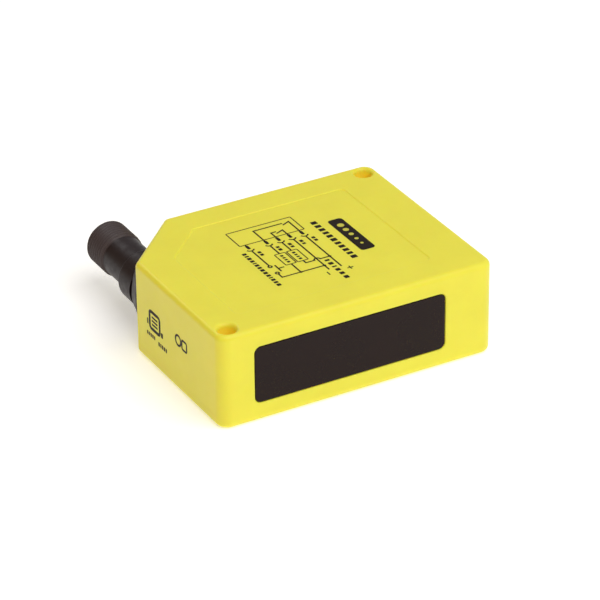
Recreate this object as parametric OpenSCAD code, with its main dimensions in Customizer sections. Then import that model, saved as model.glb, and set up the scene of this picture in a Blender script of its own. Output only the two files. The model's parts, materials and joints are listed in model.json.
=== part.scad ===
// Adjustable-field photoelectric sensor, rectangular, with a swivelling five-pin threaded connector.
// The sensor lies on its mounting face. The window face looks along -Y, the control panel along +X,
// and the connector leaves the chamfered corner at -X, +Y. The origin is midway between the two
// mounting holes, on the mounting face. All lengths are in millimetres.

/* [Housing] */
// Length of the housing, along the window face
housing_l = 75; // [74:0.5:78]
// Depth of the housing, from the window face to the back
housing_w = 60; // [59:0.5:62]
// Thickness of the housing
housing_h = 25; // [24.5:0.5:27]
// Leg of the 45 degree chamfer that carries the connector
chamfer_leg = 16.7; // [16:0.1:18]
// Thickness of the side walls
wall = 2.6; // [2.4:0.1:2.8]
// Thickness of the label wall
label_wall = 2.4; // [2:0.1:2.6]
// Radius of the upright edges
upright_edge_r = 3.1; // [2:0.1:3.5]
// Radius of the edges round the two large faces
flat_edge_r = 1.4; // [0.8:0.1:1.6]
// Depth of the shallow recess that carries the printed diagram
label_depth = 0.25; // [0.1:0.05:0.4]

/* [Mounting] */
// Distance of each mounting hole from the two nearest faces
hole_inset = 4; // [4:0.1:4.5]
// Diameter of the mounting holes
hole_d = 4.4; // [4.2:0.1:4.6]
// Diameter of the solid pillar round each mounting hole
pillar_d = 8; // [7.4:0.1:8]

/* [Window] */
// Width of the window
window_w = 52; // [48:1:53]
// Height of the window
window_h = 15; // [13:0.5:15.5]
// Distance from the left side face to the window
window_left = 9.2; // [9:0.1:10]
// Gap all round between the window and the housing
window_gap = 0.15; // [0.1:0.05:0.2]

/* [Connector] */
// Diameter over the crests of the connector thread
thread_d = 11.85; // [11.7:0.05:11.95]
// Pitch of the connector thread
thread_pitch = 1; // [1:0.25:1.5]
// Number of thread turns
thread_turns = 9; // [7:1:10]
// Diameter of the smooth neck behind the thread
neck_d = 10.9; // [10.5:0.1:11]
// Diameter of the collar between the neck and the swivel base
collar_d = 13.7; // [13:0.1:14]
// Diameter of the swivel base
swivel_base_d = 18.8; // [18:0.1:19]
// Distance that the connector reaches beyond the back face
connector_reach = 17; // [16:0.5:20]
// Height of the connector above the mounting face
connector_z = 12.5; // [11:0.1:12.5]
// Diameter of the swivel stem
stem_d = 10; // [9.6:0.1:10]
// Inner diameter of the connector socket
socket_d = 8.5; // [8.4:0.1:8.6]
// Depth of the connector socket
socket_depth = 8.2; // [7.5:0.1:8.5]
// Pitch circle of the four outer contact pins
pin_circle_d = 5; // [4.8:0.1:5.2]
// Diameter of a contact pin
pin_d = 1; // [0.9:0.05:1.1]

/* [Adjuster] */
// Tooth module of the adjuster gear pair
gear_module = 0.5; // [0.45:0.05:0.5]
// Teeth on the adjuster gear
adjuster_teeth = 28; // [24:2:28]
// Teeth on the lead screw gear
screw_teeth = 12; // [12:1:13]
// Diameter of the lead screw
lead_screw_d = 2; // [1.8:0.1:2.2]

/* [Buttons] */
// Diameter of a push button
button_d = 7; // [6:0.5:7.5]
// Travel of a push button
button_travel = 0.6; // [0.3:0.1:0.6]

/* [Hidden] */

yellow = [0.93, 0.86, 0.25];
black = [0.14, 0.12, 0.12];
grey = [0.28, 0.29, 0.3];
brass = [0.8, 0.62, 0.26];
gold = [0.9, 0.74, 0.35];
steel = [0.72, 0.74, 0.76];
board_green = [0.1, 0.38, 0.22];
clear = [0.85, 0.9, 0.95, 0.5];

eps = 0.01;
over = 1;
axis_fn = 64;
small_fn = 32;

// Housing
half_l = housing_l / 2;
half_w = housing_w / 2;
mid_z = housing_h / 2;
chamfer_edge_r = 2;
cover_t = 2;
cover_inset = 1.7;
cover_gap = 0.1;
cavity_top = housing_h - label_wall;
hole_x = half_l - hole_inset;
hole_y = half_w - hole_inset;
hole_rim = 0.6;
pilot_d = 1.7;
post_d = 4.4;

// Chamfer face: its middle, and the swivel axis through it
chamfer_x = -half_l + chamfer_leg / 2;
chamfer_y = half_w - chamfer_leg / 2;

// Window, in the window face
window_x = -half_l + window_left + window_w / 2;
window_corner_r = 1.6;
window_recess = 0.1;
window_flange = 1.1;
window_flange_t = 1;
front_wall_in = -half_w + wall;
optics_front = front_wall_in + window_flange_t + 0.1;

// Connector: the barrel axis meets the swivel axis a little below the chamfer face
elbow_sink = 0.8;
bore_overlap = 1.2;
elbow_x = chamfer_x + elbow_sink / sqrt(2);
elbow_y = chamfer_y - elbow_sink / sqrt(2);
barrel_l = half_w + connector_reach - elbow_y;
collar_l = 6.3;
base_gap = 0.15;
base_rim = 0.6;
base_rise = 3.2;
stem_in = 7.2;
stem_bore_d = 5.6;
barrel_bore_d = 6;
boss_in = 5;
boss_d = 15;
running_gap = 0.05;
insert_t = 5.5;
insert_end = barrel_l - socket_depth;
clip_t = 0.8;
clip_d = 13;
clip_groove_d = 8.6;
o_ring_section = 1.2;
o_ring_depth = 2.8;

// Control panel, in the +X end face
panel_y = -2.5;
panel_l = 45;
panel_h = 16;
panel_corner_r = 3;
panel_t = 1.8;
panel_gap = 0.1;
panel_recess = 0.8;
panel_flange = 1;
panel_flange_t = 1;
panel_face = half_l - panel_recess;
panel_back = half_l - wall;
panel_in = panel_back - panel_flange_t;
button_ys = [5, 14.5];
button_proud = 0.6;
button_cap_t = 0.5;
button_well = 1.2;
button_gap = 0.12;
button_stem_d = 3;
button_stem_x = 34.1;
button_seal_d = 5;
button_seal_t = 0.7;
light_pipe_d = 2.4;
pipe_proud = 0.3;
light_pipe_ys = [-10.4, -7.2, -4, -0.8];
panel_pcb_x = 29.4;
board_t = 1.2;
panel_pcb_front = panel_pcb_x + board_t;
switch_h = 1.6;
switch_w = 5;
plunger_d = 2;
plunger_sink = button_travel + 0.2;
led_size = 1.6;
led_t = 0.9;
header_pins = 8;
header_pin_pitch = 1.15;
header_pin_d = 0.6;
header_pin_y = 3.5;
header_pin_z = 6.5;

// Adjuster drive
screw_y = -8;
gear_mesh_gap = 0.04;
gear_centre = gear_module * (adjuster_teeth + screw_teeth) / 2 + gear_mesh_gap;
adjuster_y = screw_y - gear_centre;
gear_x = 24.5;
gear_t = 2;
gear_pressure = 25;
gear_addendum = 0.8;
gear_dedendum = 1.1;
gear_backlash = 0.06;
gear_hub_wall = 0.8;
gear_hub_proud = 0.4;
plate_x = 27.2;
plate_t = 1.2;
plate_margin = 3.5;
adjuster_shaft_d = 3;
adjuster_shaft_x = 22.8;
adjuster_body_d = 4;
adjuster_body_x = 29.5;
adjuster_head_d = 6;
adjuster_head_x = 34.5;
adjuster_slot = [1.2, 0.9];
bush_x = 31;
bush_d = 7;
bush_rim_d = 8.4;
bush_rim_t = 0.6;
hood_d = 9.4;
seal_x = 32.7;
seal_groove = 1;
seal_groove_d = 2.2;
seal_section = 0.9;
lead_screw_x = -9.3;
lead_screw_l = 37.8;
standoffs = [[-24, 20], [-4, 6.5]];
standoff_d = 4;
gearbox_screw_d = 1.4;
gearbox_screw_x = 23;
gearbox_head_d = 2.8;
gearbox_head_t = 0.8;

// Optics
frame_lo = [-29.2, optics_front, 3.2];
frame_hi = [24, -5, 21.8];
receiver_x = 7;
receiver_w = 29;
receiver_h = 14.8;
lens_seat = 1.6;
emitter_x = -20.5;
emitter_d = 12.6;
emitter_seat_d = 14;
led_d = 5;
led_y = -10;
led_dome_y = led_y - 3.9;
led_rim_d = 5.9;
led_rim_t = 1;
lead_w = 0.5;
lead_spacing = 2.54;
lead_y = -3;
rod_d = 1.5;
rod_x0 = -9.5;
rod_l = 33.5;
rod_zs = [mid_z - 5.3, mid_z + 5.3];
carriage_w = 7;
carriage_h = 14;
carriage_y = [-11, -5.6];
nut_d = 5;
nut_proud = 0.4;
detector = [6, 1.5, 5];
lens_rim = 0.9;
receiver_lens_r = 26;
emitter_lens_r = 12;
frame_ear = [-31.9, -15];
ear_t = 2;
ear_half_w = 2.6;
ear_top = 10;
pilot_depth = 6;
screw_hole_d = 2.2;

// Boards
main_pcb_z = 3.6;
main_pcb_t = 1.6;
main_pcb_top = main_pcb_z + main_pcb_t;
board_posts = [[-31, -1], [-7, 22.5], [23.5, 22.5]];
board_corner = [22.8, -1.4];
board_cut = 42.2;
screw_head_d = 3.4;
screw_head_h = 1.1;
screw_socket_d = 1.4;
screw_socket_depth = 0.6;
chip_at = [4, 9];
chip_side = 8;
chip_top = 1.5;
chip_lead_pitch = 1;
header_x = -22;
header_y = 4;
header_h = 3;
wire_pitch = 1.8;
wire_d = 0.9;
wire_ring = 1.35;
wire_count = 5;
wire_sides = 8;
wire_slots = [3, 1, 0, 2, 4];
wire_colours = ["saddlebrown", "white", "blue", "dimgray", "silver"];

// A box between two opposite corners
module box(lo, hi) {
    translate(lo) cube(hi - lo);
}

// A cylinder along X that starts at x = start
module rod_x(start, length, d, y, z, fn = small_fn) {
    translate([start, y, z]) rotate([0, 90, 0]) cylinder(h = length, d = d, $fn = fn);
}

// A cylinder along Y that starts at y = start
module rod_y(start, length, d, x, z, fn = small_fn) {
    translate([x, start, z]) rotate([-90, 0, 0]) cylinder(h = length, d = d, $fn = fn);
}

// Plan of the housing drawn in by a distance: a rectangle with one chamfered corner
function plan(inset) =
    let (x = half_l - inset, y = half_w - inset, leg = chamfer_leg - inset * (2 - sqrt(2)))
    [[-x, -y], [x, -y], [x, y], [-x + leg, y], [-x, y - leg]];

// Upright section of a corner puck: radius r, with its two rims rounded by e
function puck(r, e, h) = concat(
    [[0, 0]],
    [for (a = [-90 : 15 : 0]) [r - e + e * cos(a), e + e * sin(a)]],
    [for (a = [0 : 15 : 90]) [r - e + e * cos(a), h - e + e * sin(a)]],
    [[0, h]]
);

module corner(x, y, r) {
    translate([x, y]) rotate_extrude($fn = small_fn) polygon(puck(r, flat_edge_r, housing_h));
}

// Outer form of the closed housing
module housing_form() {
    r = upright_edge_r;
    c = chamfer_edge_r;
    turn = c * tan(22.5);
    hull() {
        corner(-half_l + r, -half_w + r, r);
        corner(half_l - r, -half_w + r, r);
        corner(half_l - r, half_w - r, r);
        corner(-half_l + chamfer_leg + turn, half_w - c, c);
        corner(-half_l + c, half_w - chamfer_leg - turn, c);
    }
}

// A plate with round corners that lies in the XY plane
module rounded_plate(w, h, r, t) {
    linear_extrude(t) {
        square([w - 2 * r, h], center = true);
        square([w, h - 2 * r], center = true);
        for (x = [-1, 1], y = [-1, 1])
            translate([x * (w / 2 - r), y * (h / 2 - r)]) circle(r, $fn = small_fn);
    }
}

// Places children so that their Z axis runs into the sensor from the window face plane
module at_window(y) {
    translate([window_x, y, mid_z]) rotate([-90, 0, 0]) children();
}

// Places children so that their Z axis points out of the control panel
module at_panel(x, y = panel_y) {
    translate([x, y, mid_z]) rotate([90, 0, 90]) children();
}

// Places children so that their Z axis is the swivel axis, with zero on the chamfer face
module at_swivel() {
    translate([chamfer_x, chamfer_y, connector_z]) rotate([0, 90, 135]) children();
}

// Places children so that their Z axis is the connector barrel's axis, with zero at the elbow
module at_barrel() {
    translate([elbow_x, elbow_y, connector_z]) rotate([-90, 0, 0]) children();
}

module mounting_holes(d, extra = 0) {
    for (s = [-1, 1]) translate([s * hole_x, s * hole_y, -extra])
        cylinder(h = housing_h + 2 * extra, d = d, $fn = axis_fn);
}

// Conical rim at the upper end of each mounting hole
module hole_rims() {
    for (s = [-1, 1]) translate([s * hole_x, s * hole_y, housing_h - hole_rim])
        cylinder(h = hole_rim + eps, d1 = hole_d, d2 = hole_d + 2 * (hole_rim + eps), $fn = axis_fn);
}

module label_recess() {
    lo = [-28.4, -21.4];
    hi = [25, 21.4];
    cut = 11;
    nick = 1.2;
    translate([0, 0, housing_h - label_depth]) linear_extrude(label_depth + over) polygon([
        [lo.x + nick, lo.y], [hi.x - nick, lo.y], [hi.x, lo.y + nick], [hi.x, hi.y - nick],
        [hi.x - nick, hi.y], [lo.x + cut, hi.y], [lo.x, hi.y - cut], [lo.x, lo.y + nick]
    ]);
}

module housing_body() {
    color(yellow) difference() {
        housing_form();
        difference() {
            cavity();
            mounting_holes(pillar_d, over);
            swivel_boss();
            screw_posts();
        }
        mounting_holes(hole_d, over);
        hole_rims();
        label_recess();
        at_window(-half_w - over) rounded_plate(
            window_w + 2 * window_gap, window_h + 2 * window_gap,
            window_corner_r + window_gap, wall + 2 * over);
        at_panel(panel_back - over) rounded_plate(panel_l, panel_h, panel_corner_r, wall + 2 * over);
        at_swivel() translate([0, 0, -boss_in - over])
            cylinder(h = boss_in + 2 * over, d = stem_d + 2 * running_gap, $fn = axis_fn);
        for (p = board_posts) translate([p.x, p.y, main_pcb_top - eps])
            cylinder(h = pilot_depth, d = pilot_d, $fn = small_fn);
        translate([frame_ear.x, frame_ear.y, ear_top - eps])
            cylinder(h = pilot_depth, d = pilot_d, $fn = small_fn);
    }
}

// The hollow inside the housing, with the wider step that seats the cover
module cavity() {
    translate([0, 0, -over]) linear_extrude(over + cover_t) polygon(plan(cover_inset));
    linear_extrude(cavity_top) polygon(plan(wall));
}

// Inner boss behind the chamfer face, for the swivel stem
module swivel_boss() {
    at_swivel() translate([0, 0, -boss_in]) cylinder(h = boss_in, d = boss_d, $fn = axis_fn);
}

// Posts that hang from the label wall and take the board and optics screws
module screw_posts() {
    for (p = board_posts) translate([p.x, p.y, main_pcb_top])
        cylinder(h = cavity_top - main_pcb_top + over, d = post_d, $fn = small_fn);
    translate([frame_ear.x, frame_ear.y, ear_top])
        cylinder(h = cavity_top - ear_top + over, d = post_d, $fn = small_fn);
}

module housing_cover() {
    color(yellow) difference() {
        linear_extrude(cover_t) polygon(plan(cover_inset + cover_gap));
        mounting_holes(pillar_d + 2 * cover_gap, over);
    }
}

module front_window() {
    color(black) {
        at_window(-half_w + window_recess)
            rounded_plate(window_w, window_h, window_corner_r, wall - window_recess + eps);
        at_window(front_wall_in) rounded_plate(
            window_w + 2 * window_flange, window_h + 2 * window_flange, window_corner_r, window_flange_t);
    }
}

module control_panel() {
    through = panel_face - panel_in + 2 * over;
    color(grey) difference() {
        union() {
            at_panel(panel_back)
                rounded_plate(panel_l - 2 * panel_gap, panel_h - 2 * panel_gap, panel_corner_r, panel_t);
            at_panel(panel_in) rounded_plate(
                panel_l + 2 * panel_flange, panel_h + 2 * panel_flange, panel_corner_r, panel_flange_t);
            rod_x(bush_x, panel_back - bush_x, hood_d, adjuster_y, mid_z, axis_fn);
        }
        for (y = button_ys) {
            rod_x(panel_face - button_well, button_well + over, button_d + 2 * button_gap, y, mid_z, axis_fn);
            rod_x(panel_in - over, through, button_stem_d + 2 * button_gap, y, mid_z);
            rod_x(panel_in - eps, button_seal_t + eps, button_seal_d, y, mid_z);
        }
        for (y = light_pipe_ys) rod_x(panel_in - over, through, light_pipe_d, y, mid_z);
        rod_x(bush_x - over, panel_face - bush_x + 2 * over, bush_d, adjuster_y, mid_z, axis_fn);
        rod_x(panel_face - bush_rim_t, bush_rim_t + over, bush_rim_d, adjuster_y, mid_z, axis_fn);
    }
}

module light_pipes() {
    start = panel_pcb_front + led_t + 0.2;
    length = panel_face + pipe_proud - start;
    color(clear) for (y = light_pipe_ys) rod_x(start, length, light_pipe_d, y, mid_z);
}

module button_seals() {
    color(black) for (y = button_ys) difference() {
        rod_x(panel_in, button_seal_t, button_seal_d, y, mid_z);
        rod_x(panel_in - over, button_seal_t + 2 * over, button_stem_d + 2 * running_gap, y, mid_z);
    }
}

module adjuster_bush() {
    color(brass) difference() {
        union() {
            rod_x(bush_x, panel_face - bush_x, bush_d, adjuster_y, mid_z, axis_fn);
            rod_x(panel_face - bush_rim_t, bush_rim_t, bush_rim_d, adjuster_y, mid_z, axis_fn);
        }
        rod_x(bush_x - over, panel_face - bush_x + 2 * over, adjuster_body_d + 2 * running_gap,
            adjuster_y, mid_z, axis_fn);
        rod_x(adjuster_head_x - 0.1, panel_face - adjuster_head_x + over, adjuster_head_d + 2 * running_gap,
            adjuster_y, mid_z, axis_fn);
    }
}

module adjuster_screw() {
    slot_lo = [panel_face - adjuster_slot[0], adjuster_y - adjuster_slot[1] / 2, mid_z - adjuster_head_d];
    slot_hi = [panel_face + over, adjuster_y + adjuster_slot[1] / 2, mid_z + adjuster_head_d];
    color(brass) difference() {
        union() {
            rod_x(adjuster_head_x, panel_face - adjuster_head_x, adjuster_head_d, adjuster_y, mid_z, axis_fn);
            rod_x(adjuster_body_x, adjuster_head_x - adjuster_body_x + eps, adjuster_body_d,
                adjuster_y, mid_z, axis_fn);
            rod_x(adjuster_shaft_x, adjuster_body_x - adjuster_shaft_x + eps, adjuster_shaft_d,
                adjuster_y, mid_z, axis_fn);
        }
        box(slot_lo, slot_hi);
        difference() {
            rod_x(seal_x - seal_groove / 2, seal_groove, adjuster_body_d + 1, adjuster_y, mid_z, axis_fn);
            rod_x(seal_x - seal_groove, 2 * seal_groove, seal_groove_d, adjuster_y, mid_z, axis_fn);
        }
    }
}

module adjuster_o_ring() {
    color(black) translate([seal_x, adjuster_y, mid_z]) rotate([0, 90, 0]) rotate_extrude($fn = axis_fn)
        translate([(seal_groove_d + seal_section) / 2 + eps, 0]) circle(d = seal_section, $fn = small_fn);
}

// Half the angle of a tooth at radius r, for an involute of base radius rb
function tooth_angle(r, rb, base_angle) =
    let (t = acos(min(1, rb / r))) base_angle - (tan(t) * 180 / PI - t);

// Outline of an involute spur gear, with one tooth centred on the X axis
function gear_outline(teeth) =
    let (
        rp = gear_module * teeth / 2,
        rb = rp * cos(gear_pressure),
        ra = rp + gear_addendum * gear_module,
        rf = rp - gear_dedendum * gear_module,
        involute = tan(gear_pressure) * 180 / PI - gear_pressure,
        half = 90 / teeth - gear_backlash / 2 / rp * 180 / PI,
        base_angle = half + involute,
        start = max(rb, rf),
        steps = 5,
        flank = [for (i = [0 : steps]) start + (ra - start) * i / steps]
    )
    [for (k = [0 : teeth - 1]) each concat(
        [let (a = k * 360 / teeth - tooth_angle(start, rb, base_angle)) [rf * cos(a), rf * sin(a)]],
        [for (r = flank) let (a = k * 360 / teeth - tooth_angle(r, rb, base_angle)) [r * cos(a), r * sin(a)]],
        [for (i = [steps : -1 : 0]) let (r = flank[i], a = k * 360 / teeth + tooth_angle(r, rb, base_angle))
            [r * cos(a), r * sin(a)]],
        [let (a = k * 360 / teeth + tooth_angle(start, rb, base_angle)) [rf * cos(a), rf * sin(a)]]
    )];

// A gear whose axis is along X; turn sets where its first tooth points
module gear(teeth, bore, y, turn) {
    translate([gear_x, y, mid_z]) rotate([90, 0, 90]) difference() {
        union() {
            rotate([0, 0, turn]) linear_extrude(gear_t) polygon(gear_outline(teeth));
            translate([0, 0, -gear_hub_proud])
                cylinder(h = gear_t + 2 * gear_hub_proud, d = bore + 2 * gear_hub_wall, $fn = small_fn);
        }
        translate([0, 0, -over]) cylinder(h = gear_t + 2 * over, d = bore, $fn = small_fn);
    }
}

module adjuster_gear() {
    color("white") gear(adjuster_teeth, adjuster_shaft_d, adjuster_y, 0);
}

module screw_gear() {
    color("white") gear(screw_teeth, lead_screw_d, screw_y, 180 + 180 / screw_teeth);
}

module push_button(y) {
    cap_x = panel_face - button_cap_t;
    color(grey) {
        rod_x(cap_x, button_cap_t + button_proud, button_d, y, mid_z, axis_fn);
        rod_x(button_stem_x, cap_x - button_stem_x + eps, button_stem_d, y, mid_z);
    }
}

module delay_button() {
    push_button(button_ys[0]);
}

module mode_button() {
    push_button(button_ys[1]);
}

module switch_plunger(y) {
    start = panel_pcb_front + plunger_sink;
    color(black) rod_x(start, button_stem_x - start, plunger_d, y, mid_z);
}

module delay_switch_plunger() {
    switch_plunger(button_ys[0]);
}

module mode_switch_plunger() {
    switch_plunger(button_ys[1]);
}

module tactile_switches() {
    x = panel_pcb_front;
    r = switch_w / 2;
    color(steel) for (y = button_ys) difference() {
        box([x, y - r, mid_z - r], [x + switch_h, y + r, mid_z + r]);
        rod_x(x + 0.1, switch_h, plunger_d + 2 * running_gap, y, mid_z);
    }
}

module status_leds() {
    x = panel_pcb_front;
    r = led_size / 2;
    color("gold") for (y = light_pipe_ys) box([x, y - r, mid_z - r], [x + led_t, y + r, mid_z + r]);
}

module panel_pcb() {
    color(board_green) difference() {
        box([panel_pcb_x, -11.8, 5.6], [panel_pcb_front, 19.6, 20.4]);
        header_pins(panel_pcb_x - over, board_t + 2 * over, header_pin_d + 0.3);
    }
}

// The row of right-angle pins between the two boards
module header_pins(start, length, d) {
    for (i = [0 : header_pins - 1])
        rod_x(start, length, d, header_pin_y + i * header_pin_pitch, header_pin_z);
}

module board_header() {
    color(black) box([26.4, 2, main_pcb_top], [panel_pcb_x, 13, main_pcb_top + 2.5]);
    color(gold) header_pins(panel_pcb_x - eps, board_t + 0.6, header_pin_d);
}

module main_pcb() {
    lo = [-34, -4.4];
    hi = [28.6, 26.6];
    color(board_green) difference() {
        translate([0, 0, main_pcb_z]) linear_extrude(main_pcb_t) polygon([
            lo, [board_corner.x, lo.y], board_corner, [hi.x, board_corner.y],
            hi, [hi.y - board_cut, hi.y], [lo.x, lo.x + board_cut]
        ]);
        for (p = board_posts) translate([p.x, p.y, main_pcb_z - over])
            cylinder(h = main_pcb_t + 2 * over, d = screw_hole_d, $fn = small_fn);
    }
}

// A pan-head screw driven upwards, with its head seated below z
module screw_up(x, y, z, shank) {
    translate([x, y, z - screw_head_h]) {
        difference() {
            cylinder(h = screw_head_h, d = screw_head_d, $fn = small_fn);
            translate([0, 0, -eps]) cylinder(h = screw_socket_depth, d = screw_socket_d, $fn = 6);
        }
        translate([0, 0, screw_head_h - eps]) cylinder(h = shank, d = pilot_d, $fn = small_fn);
    }
}

module board_screws() {
    color(steel) for (p = board_posts) screw_up(p.x, p.y, main_pcb_z, 6);
}

module microcontroller() {
    r = chip_side / 2;
    color(black) translate([chip_at.x, chip_at.y, main_pcb_top]) {
        linear_extrude(0.5) {
            square(chip_side - 0.4, center = true);
            for (a = [0, 90], i = [-3.5 : 3.5]) rotate(a)
                translate([0, i * chip_lead_pitch]) square([chip_side + 2, 0.4], center = true);
        }
        box([-r, -r, 0.3], [r, r, chip_top]);
    }
}

module power_inductor() {
    color(black) translate([18.5, 14, main_pcb_top]) difference() {
        cylinder(h = 4.5, d = 8, $fn = axis_fn);
        difference() {
            translate([0, 0, 1]) cylinder(h = 2.5, d = 9, $fn = axis_fn);
            translate([0, 0, 0.5]) cylinder(h = 3.5, d = 6, $fn = axis_fn);
        }
    }
}

module filter_capacitors() {
    color("silver") for (x = [14, 21.5])
        translate([x, 4, main_pcb_top]) cylinder(h = 7.7, d = 6.3, $fn = axis_fn);
}

module output_transistors() {
    color(black) for (x = [-12, -5.5]) translate([x, 14, main_pcb_top]) {
        box([-2.5, -3, 0], [2.5, 3, 2.2]);
        box([-2, 2.5, 0], [2, 4.2, 0.6]);
    }
}

module surge_suppressors() {
    color(black) for (x = [-14.6, -9.2, -3.6])
        translate([x, 5, main_pcb_top]) box([-2.1, -1.3, 0], [2.1, 1.3, 2]);
}

// Where each wire of the harness runs: a ring of parallel wires round the swivel axis
function ring_at(i, r) = [r * cos(18 - i * 360 / wire_count), r * sin(18 - i * 360 / wire_count)];

// The first ring of a wire: a polygon of wire_sides corners, square to direction d
function first_ring(p, d, r) =
    let (
        side = cross(d, abs(d.x) > abs(d.z) * 3 ? [0, 0, 1] : [1, 0, 0]),
        u = side / norm(side),
        v = cross(d, u) / norm(d)
    )
    [for (k = [0 : wire_sides - 1]) p + r * (u * cos(k * 360 / wire_sides) + v * sin(k * 360 / wire_sides))];

function unit(v) = v / norm(v);

// Direction of the mitre at point i: along the wire at its ends, halfway between its legs elsewhere
function mitre(points, i) =
    let (last = len(points) - 1)
    i == last ? unit(points[last] - points[last - 1])
        : unit(unit(points[i] - points[i - 1]) + unit(points[i + 1] - points[i]));

// A ring slid along its leg as far as the mitre at point i
function slide_ring(ring, points, i) =
    let (d = unit(points[i] - points[i - 1]), n = mitre(points, i))
    [for (q = ring) q + d * ((points[i] - q) * n) / (d * n)];

function rings(points, ring, i = 1) =
    i == len(points) ? [ring] : concat([ring], rings(points, slide_ring(ring, points, i), i + 1));

// A wire through a list of points, mitred at each bend
module wire(points, d = wire_d) {
    n = wire_sides;
    all = rings(points, first_ring(points[0], points[1] - points[0], d / 2));
    last = len(points) - 1;
    polyhedron(
        points = [for (ring = all) each ring],
        faces = concat(
            [[for (k = [0 : n - 1]) k]],
            [for (i = [0 : last - 1], k = [0 : n - 1])
                [i * n + k, (i + 1) * n + k, (i + 1) * n + (k + 1) % n, i * n + (k + 1) % n]],
            [[for (k = [n - 1 : -1 : 0]) last * n + k]]
        ),
        convexity = 4
    );
}

// A point in the housing's frame from one measured along and round the swivel axis
function from_swivel(p) = [
    chamfer_x - (p.z - p.y) / sqrt(2), chamfer_y + (p.z + p.y) / sqrt(2), connector_z - p.x
];

module wire_header() {
    reach = [wire_pitch * wire_count / 2 + 0.5, 1.6];
    color("ivory") box(
        [header_x - reach.x, header_y - reach.y, main_pcb_top],
        [header_x + reach.x, header_y + reach.y, main_pcb_top + header_h]);
}

module housing_wires() {
    for (i = [0 : wire_count - 1]) {
        p = ring_at(i, wire_ring);
        top_x = header_x + (wire_slots[i] - 2) * wire_pitch;
        color(wire_colours[i]) wire([
            from_swivel([p.x, p.y, -stem_in - 0.4]),
            from_swivel([p.x, p.y, -stem_in - 3]),
            [top_x, header_y + 3.2, 11.5],
            [top_x, header_y, main_pcb_top + header_h + 1.6],
            [top_x, header_y, main_pcb_top + header_h]
        ]);
    }
}

module optics_frame() {
    seat = [receiver_w + 2, 2, receiver_h + 1];
    front = frame_lo.y - over;
    color(black) difference() {
        union() {
            box(frame_lo, frame_hi);
            box([frame_ear.x - ear_half_w, frame_ear.y - ear_half_w, ear_top - ear_t],
                [frame_lo.x + eps, frame_ear.y + ear_half_w, ear_top]);
            for (s = standoffs) rod_x(frame_hi.x - eps, plate_x - frame_hi.x + eps, standoff_d, s[0], s[1]);
        }
        translate([receiver_x - receiver_w / 2, front, mid_z - receiver_h / 2])
            cube([receiver_w, 30, receiver_h]);
        translate([receiver_x - seat.x / 2, front, mid_z - seat.z / 2])
            cube([seat.x, over + lens_seat, seat.z]);
        rod_y(front, over + lens_seat, emitter_seat_d, emitter_x, mid_z, axis_fn);
        rod_y(front, 16, emitter_d, emitter_x, mid_z, axis_fn);
        rod_y(led_dome_y, 12, led_d + 0.1, emitter_x, mid_z, axis_fn);
        rod_y(led_y + led_rim_t, 12, led_rim_d + 0.1, emitter_x, mid_z, axis_fn);
        for (z = rod_zs) rod_x(rod_x0, rod_l + over, rod_d, screw_y, z);
        rod_x(rod_x0, rod_l + over, lead_screw_d + 2 * running_gap, screw_y, mid_z);
        rod_x(adjuster_shaft_x - 0.1, 3, adjuster_shaft_d + 2 * running_gap, adjuster_y, mid_z);
        for (s = standoffs) rod_x(gearbox_screw_x, 6, gearbox_screw_d, s[0], s[1]);
        translate([frame_ear.x, frame_ear.y, ear_top - ear_t - over])
            cylinder(h = ear_t + 2 * over, d = screw_hole_d, $fn = small_fn);
    }
}

module optics_screws() {
    color(steel) screw_up(frame_ear.x, frame_ear.y, ear_top - ear_t, 6);
}

module gearbox_plate() {
    through = plate_t + 2 * over;
    color(grey) difference() {
        union() {
            box([plate_x, adjuster_y - plate_margin, mid_z - plate_margin],
                [plate_x + plate_t, screw_y + plate_margin, mid_z + plate_margin]);
            box([plate_x, standoffs[0][0] - 2.2, mid_z],
                [plate_x + plate_t, adjuster_y + 2, standoffs[0][1] + 2.2]);
            box([plate_x, screw_y - 3, standoffs[1][1] - 2], [plate_x + plate_t, standoffs[1][0] + 2, mid_z]);
        }
        rod_x(plate_x - over, through, lead_screw_d + 2 * running_gap, screw_y, mid_z);
        rod_x(plate_x - over, through, adjuster_shaft_d + 2 * running_gap, adjuster_y, mid_z);
        for (s = standoffs) rod_x(plate_x - over, through, gearbox_screw_d + 0.4, s[0], s[1]);
    }
}

module gearbox_screws() {
    start = plate_x + plate_t;
    color(steel) for (s = standoffs) {
        rod_x(start, gearbox_head_t, gearbox_head_d, s[0], s[1]);
        rod_x(gearbox_screw_x, start - gearbox_screw_x + eps, gearbox_screw_d, s[0], s[1]);
    }
}

module guide_rods() {
    color(steel) for (z = rod_zs) rod_x(rod_x0, rod_l, rod_d, screw_y, z);
}

module lead_screw() {
    color(steel) rod_x(lead_screw_x, lead_screw_l, lead_screw_d, screw_y, mid_z);
}

module receiver_carriage() {
    lo = [receiver_x - carriage_w / 2, carriage_y[0], mid_z - carriage_h / 2];
    hi = [receiver_x + carriage_w / 2, carriage_y[1], mid_z + carriage_h / 2];
    through = carriage_w + 2 * over;
    color(black) difference() {
        box(lo, hi);
        for (z = rod_zs) rod_x(lo.x - over, through, rod_d + 2 * running_gap, screw_y, z);
        rod_x(lo.x - over, through, nut_d, screw_y, mid_z);
    }
}

module carriage_nut() {
    start = receiver_x - carriage_w / 2 - nut_proud;
    length = carriage_w + 2 * nut_proud;
    color(brass) difference() {
        rod_x(start, length, nut_d, screw_y, mid_z);
        rod_x(start - over, length + 2 * over, lead_screw_d + 2 * running_gap, screw_y, mid_z);
    }
}

module receiver_detector() {
    color(grey) translate([receiver_x - detector.x / 2, carriage_y[0] - detector.y, mid_z - detector.z / 2])
        cube(detector);
}

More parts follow.
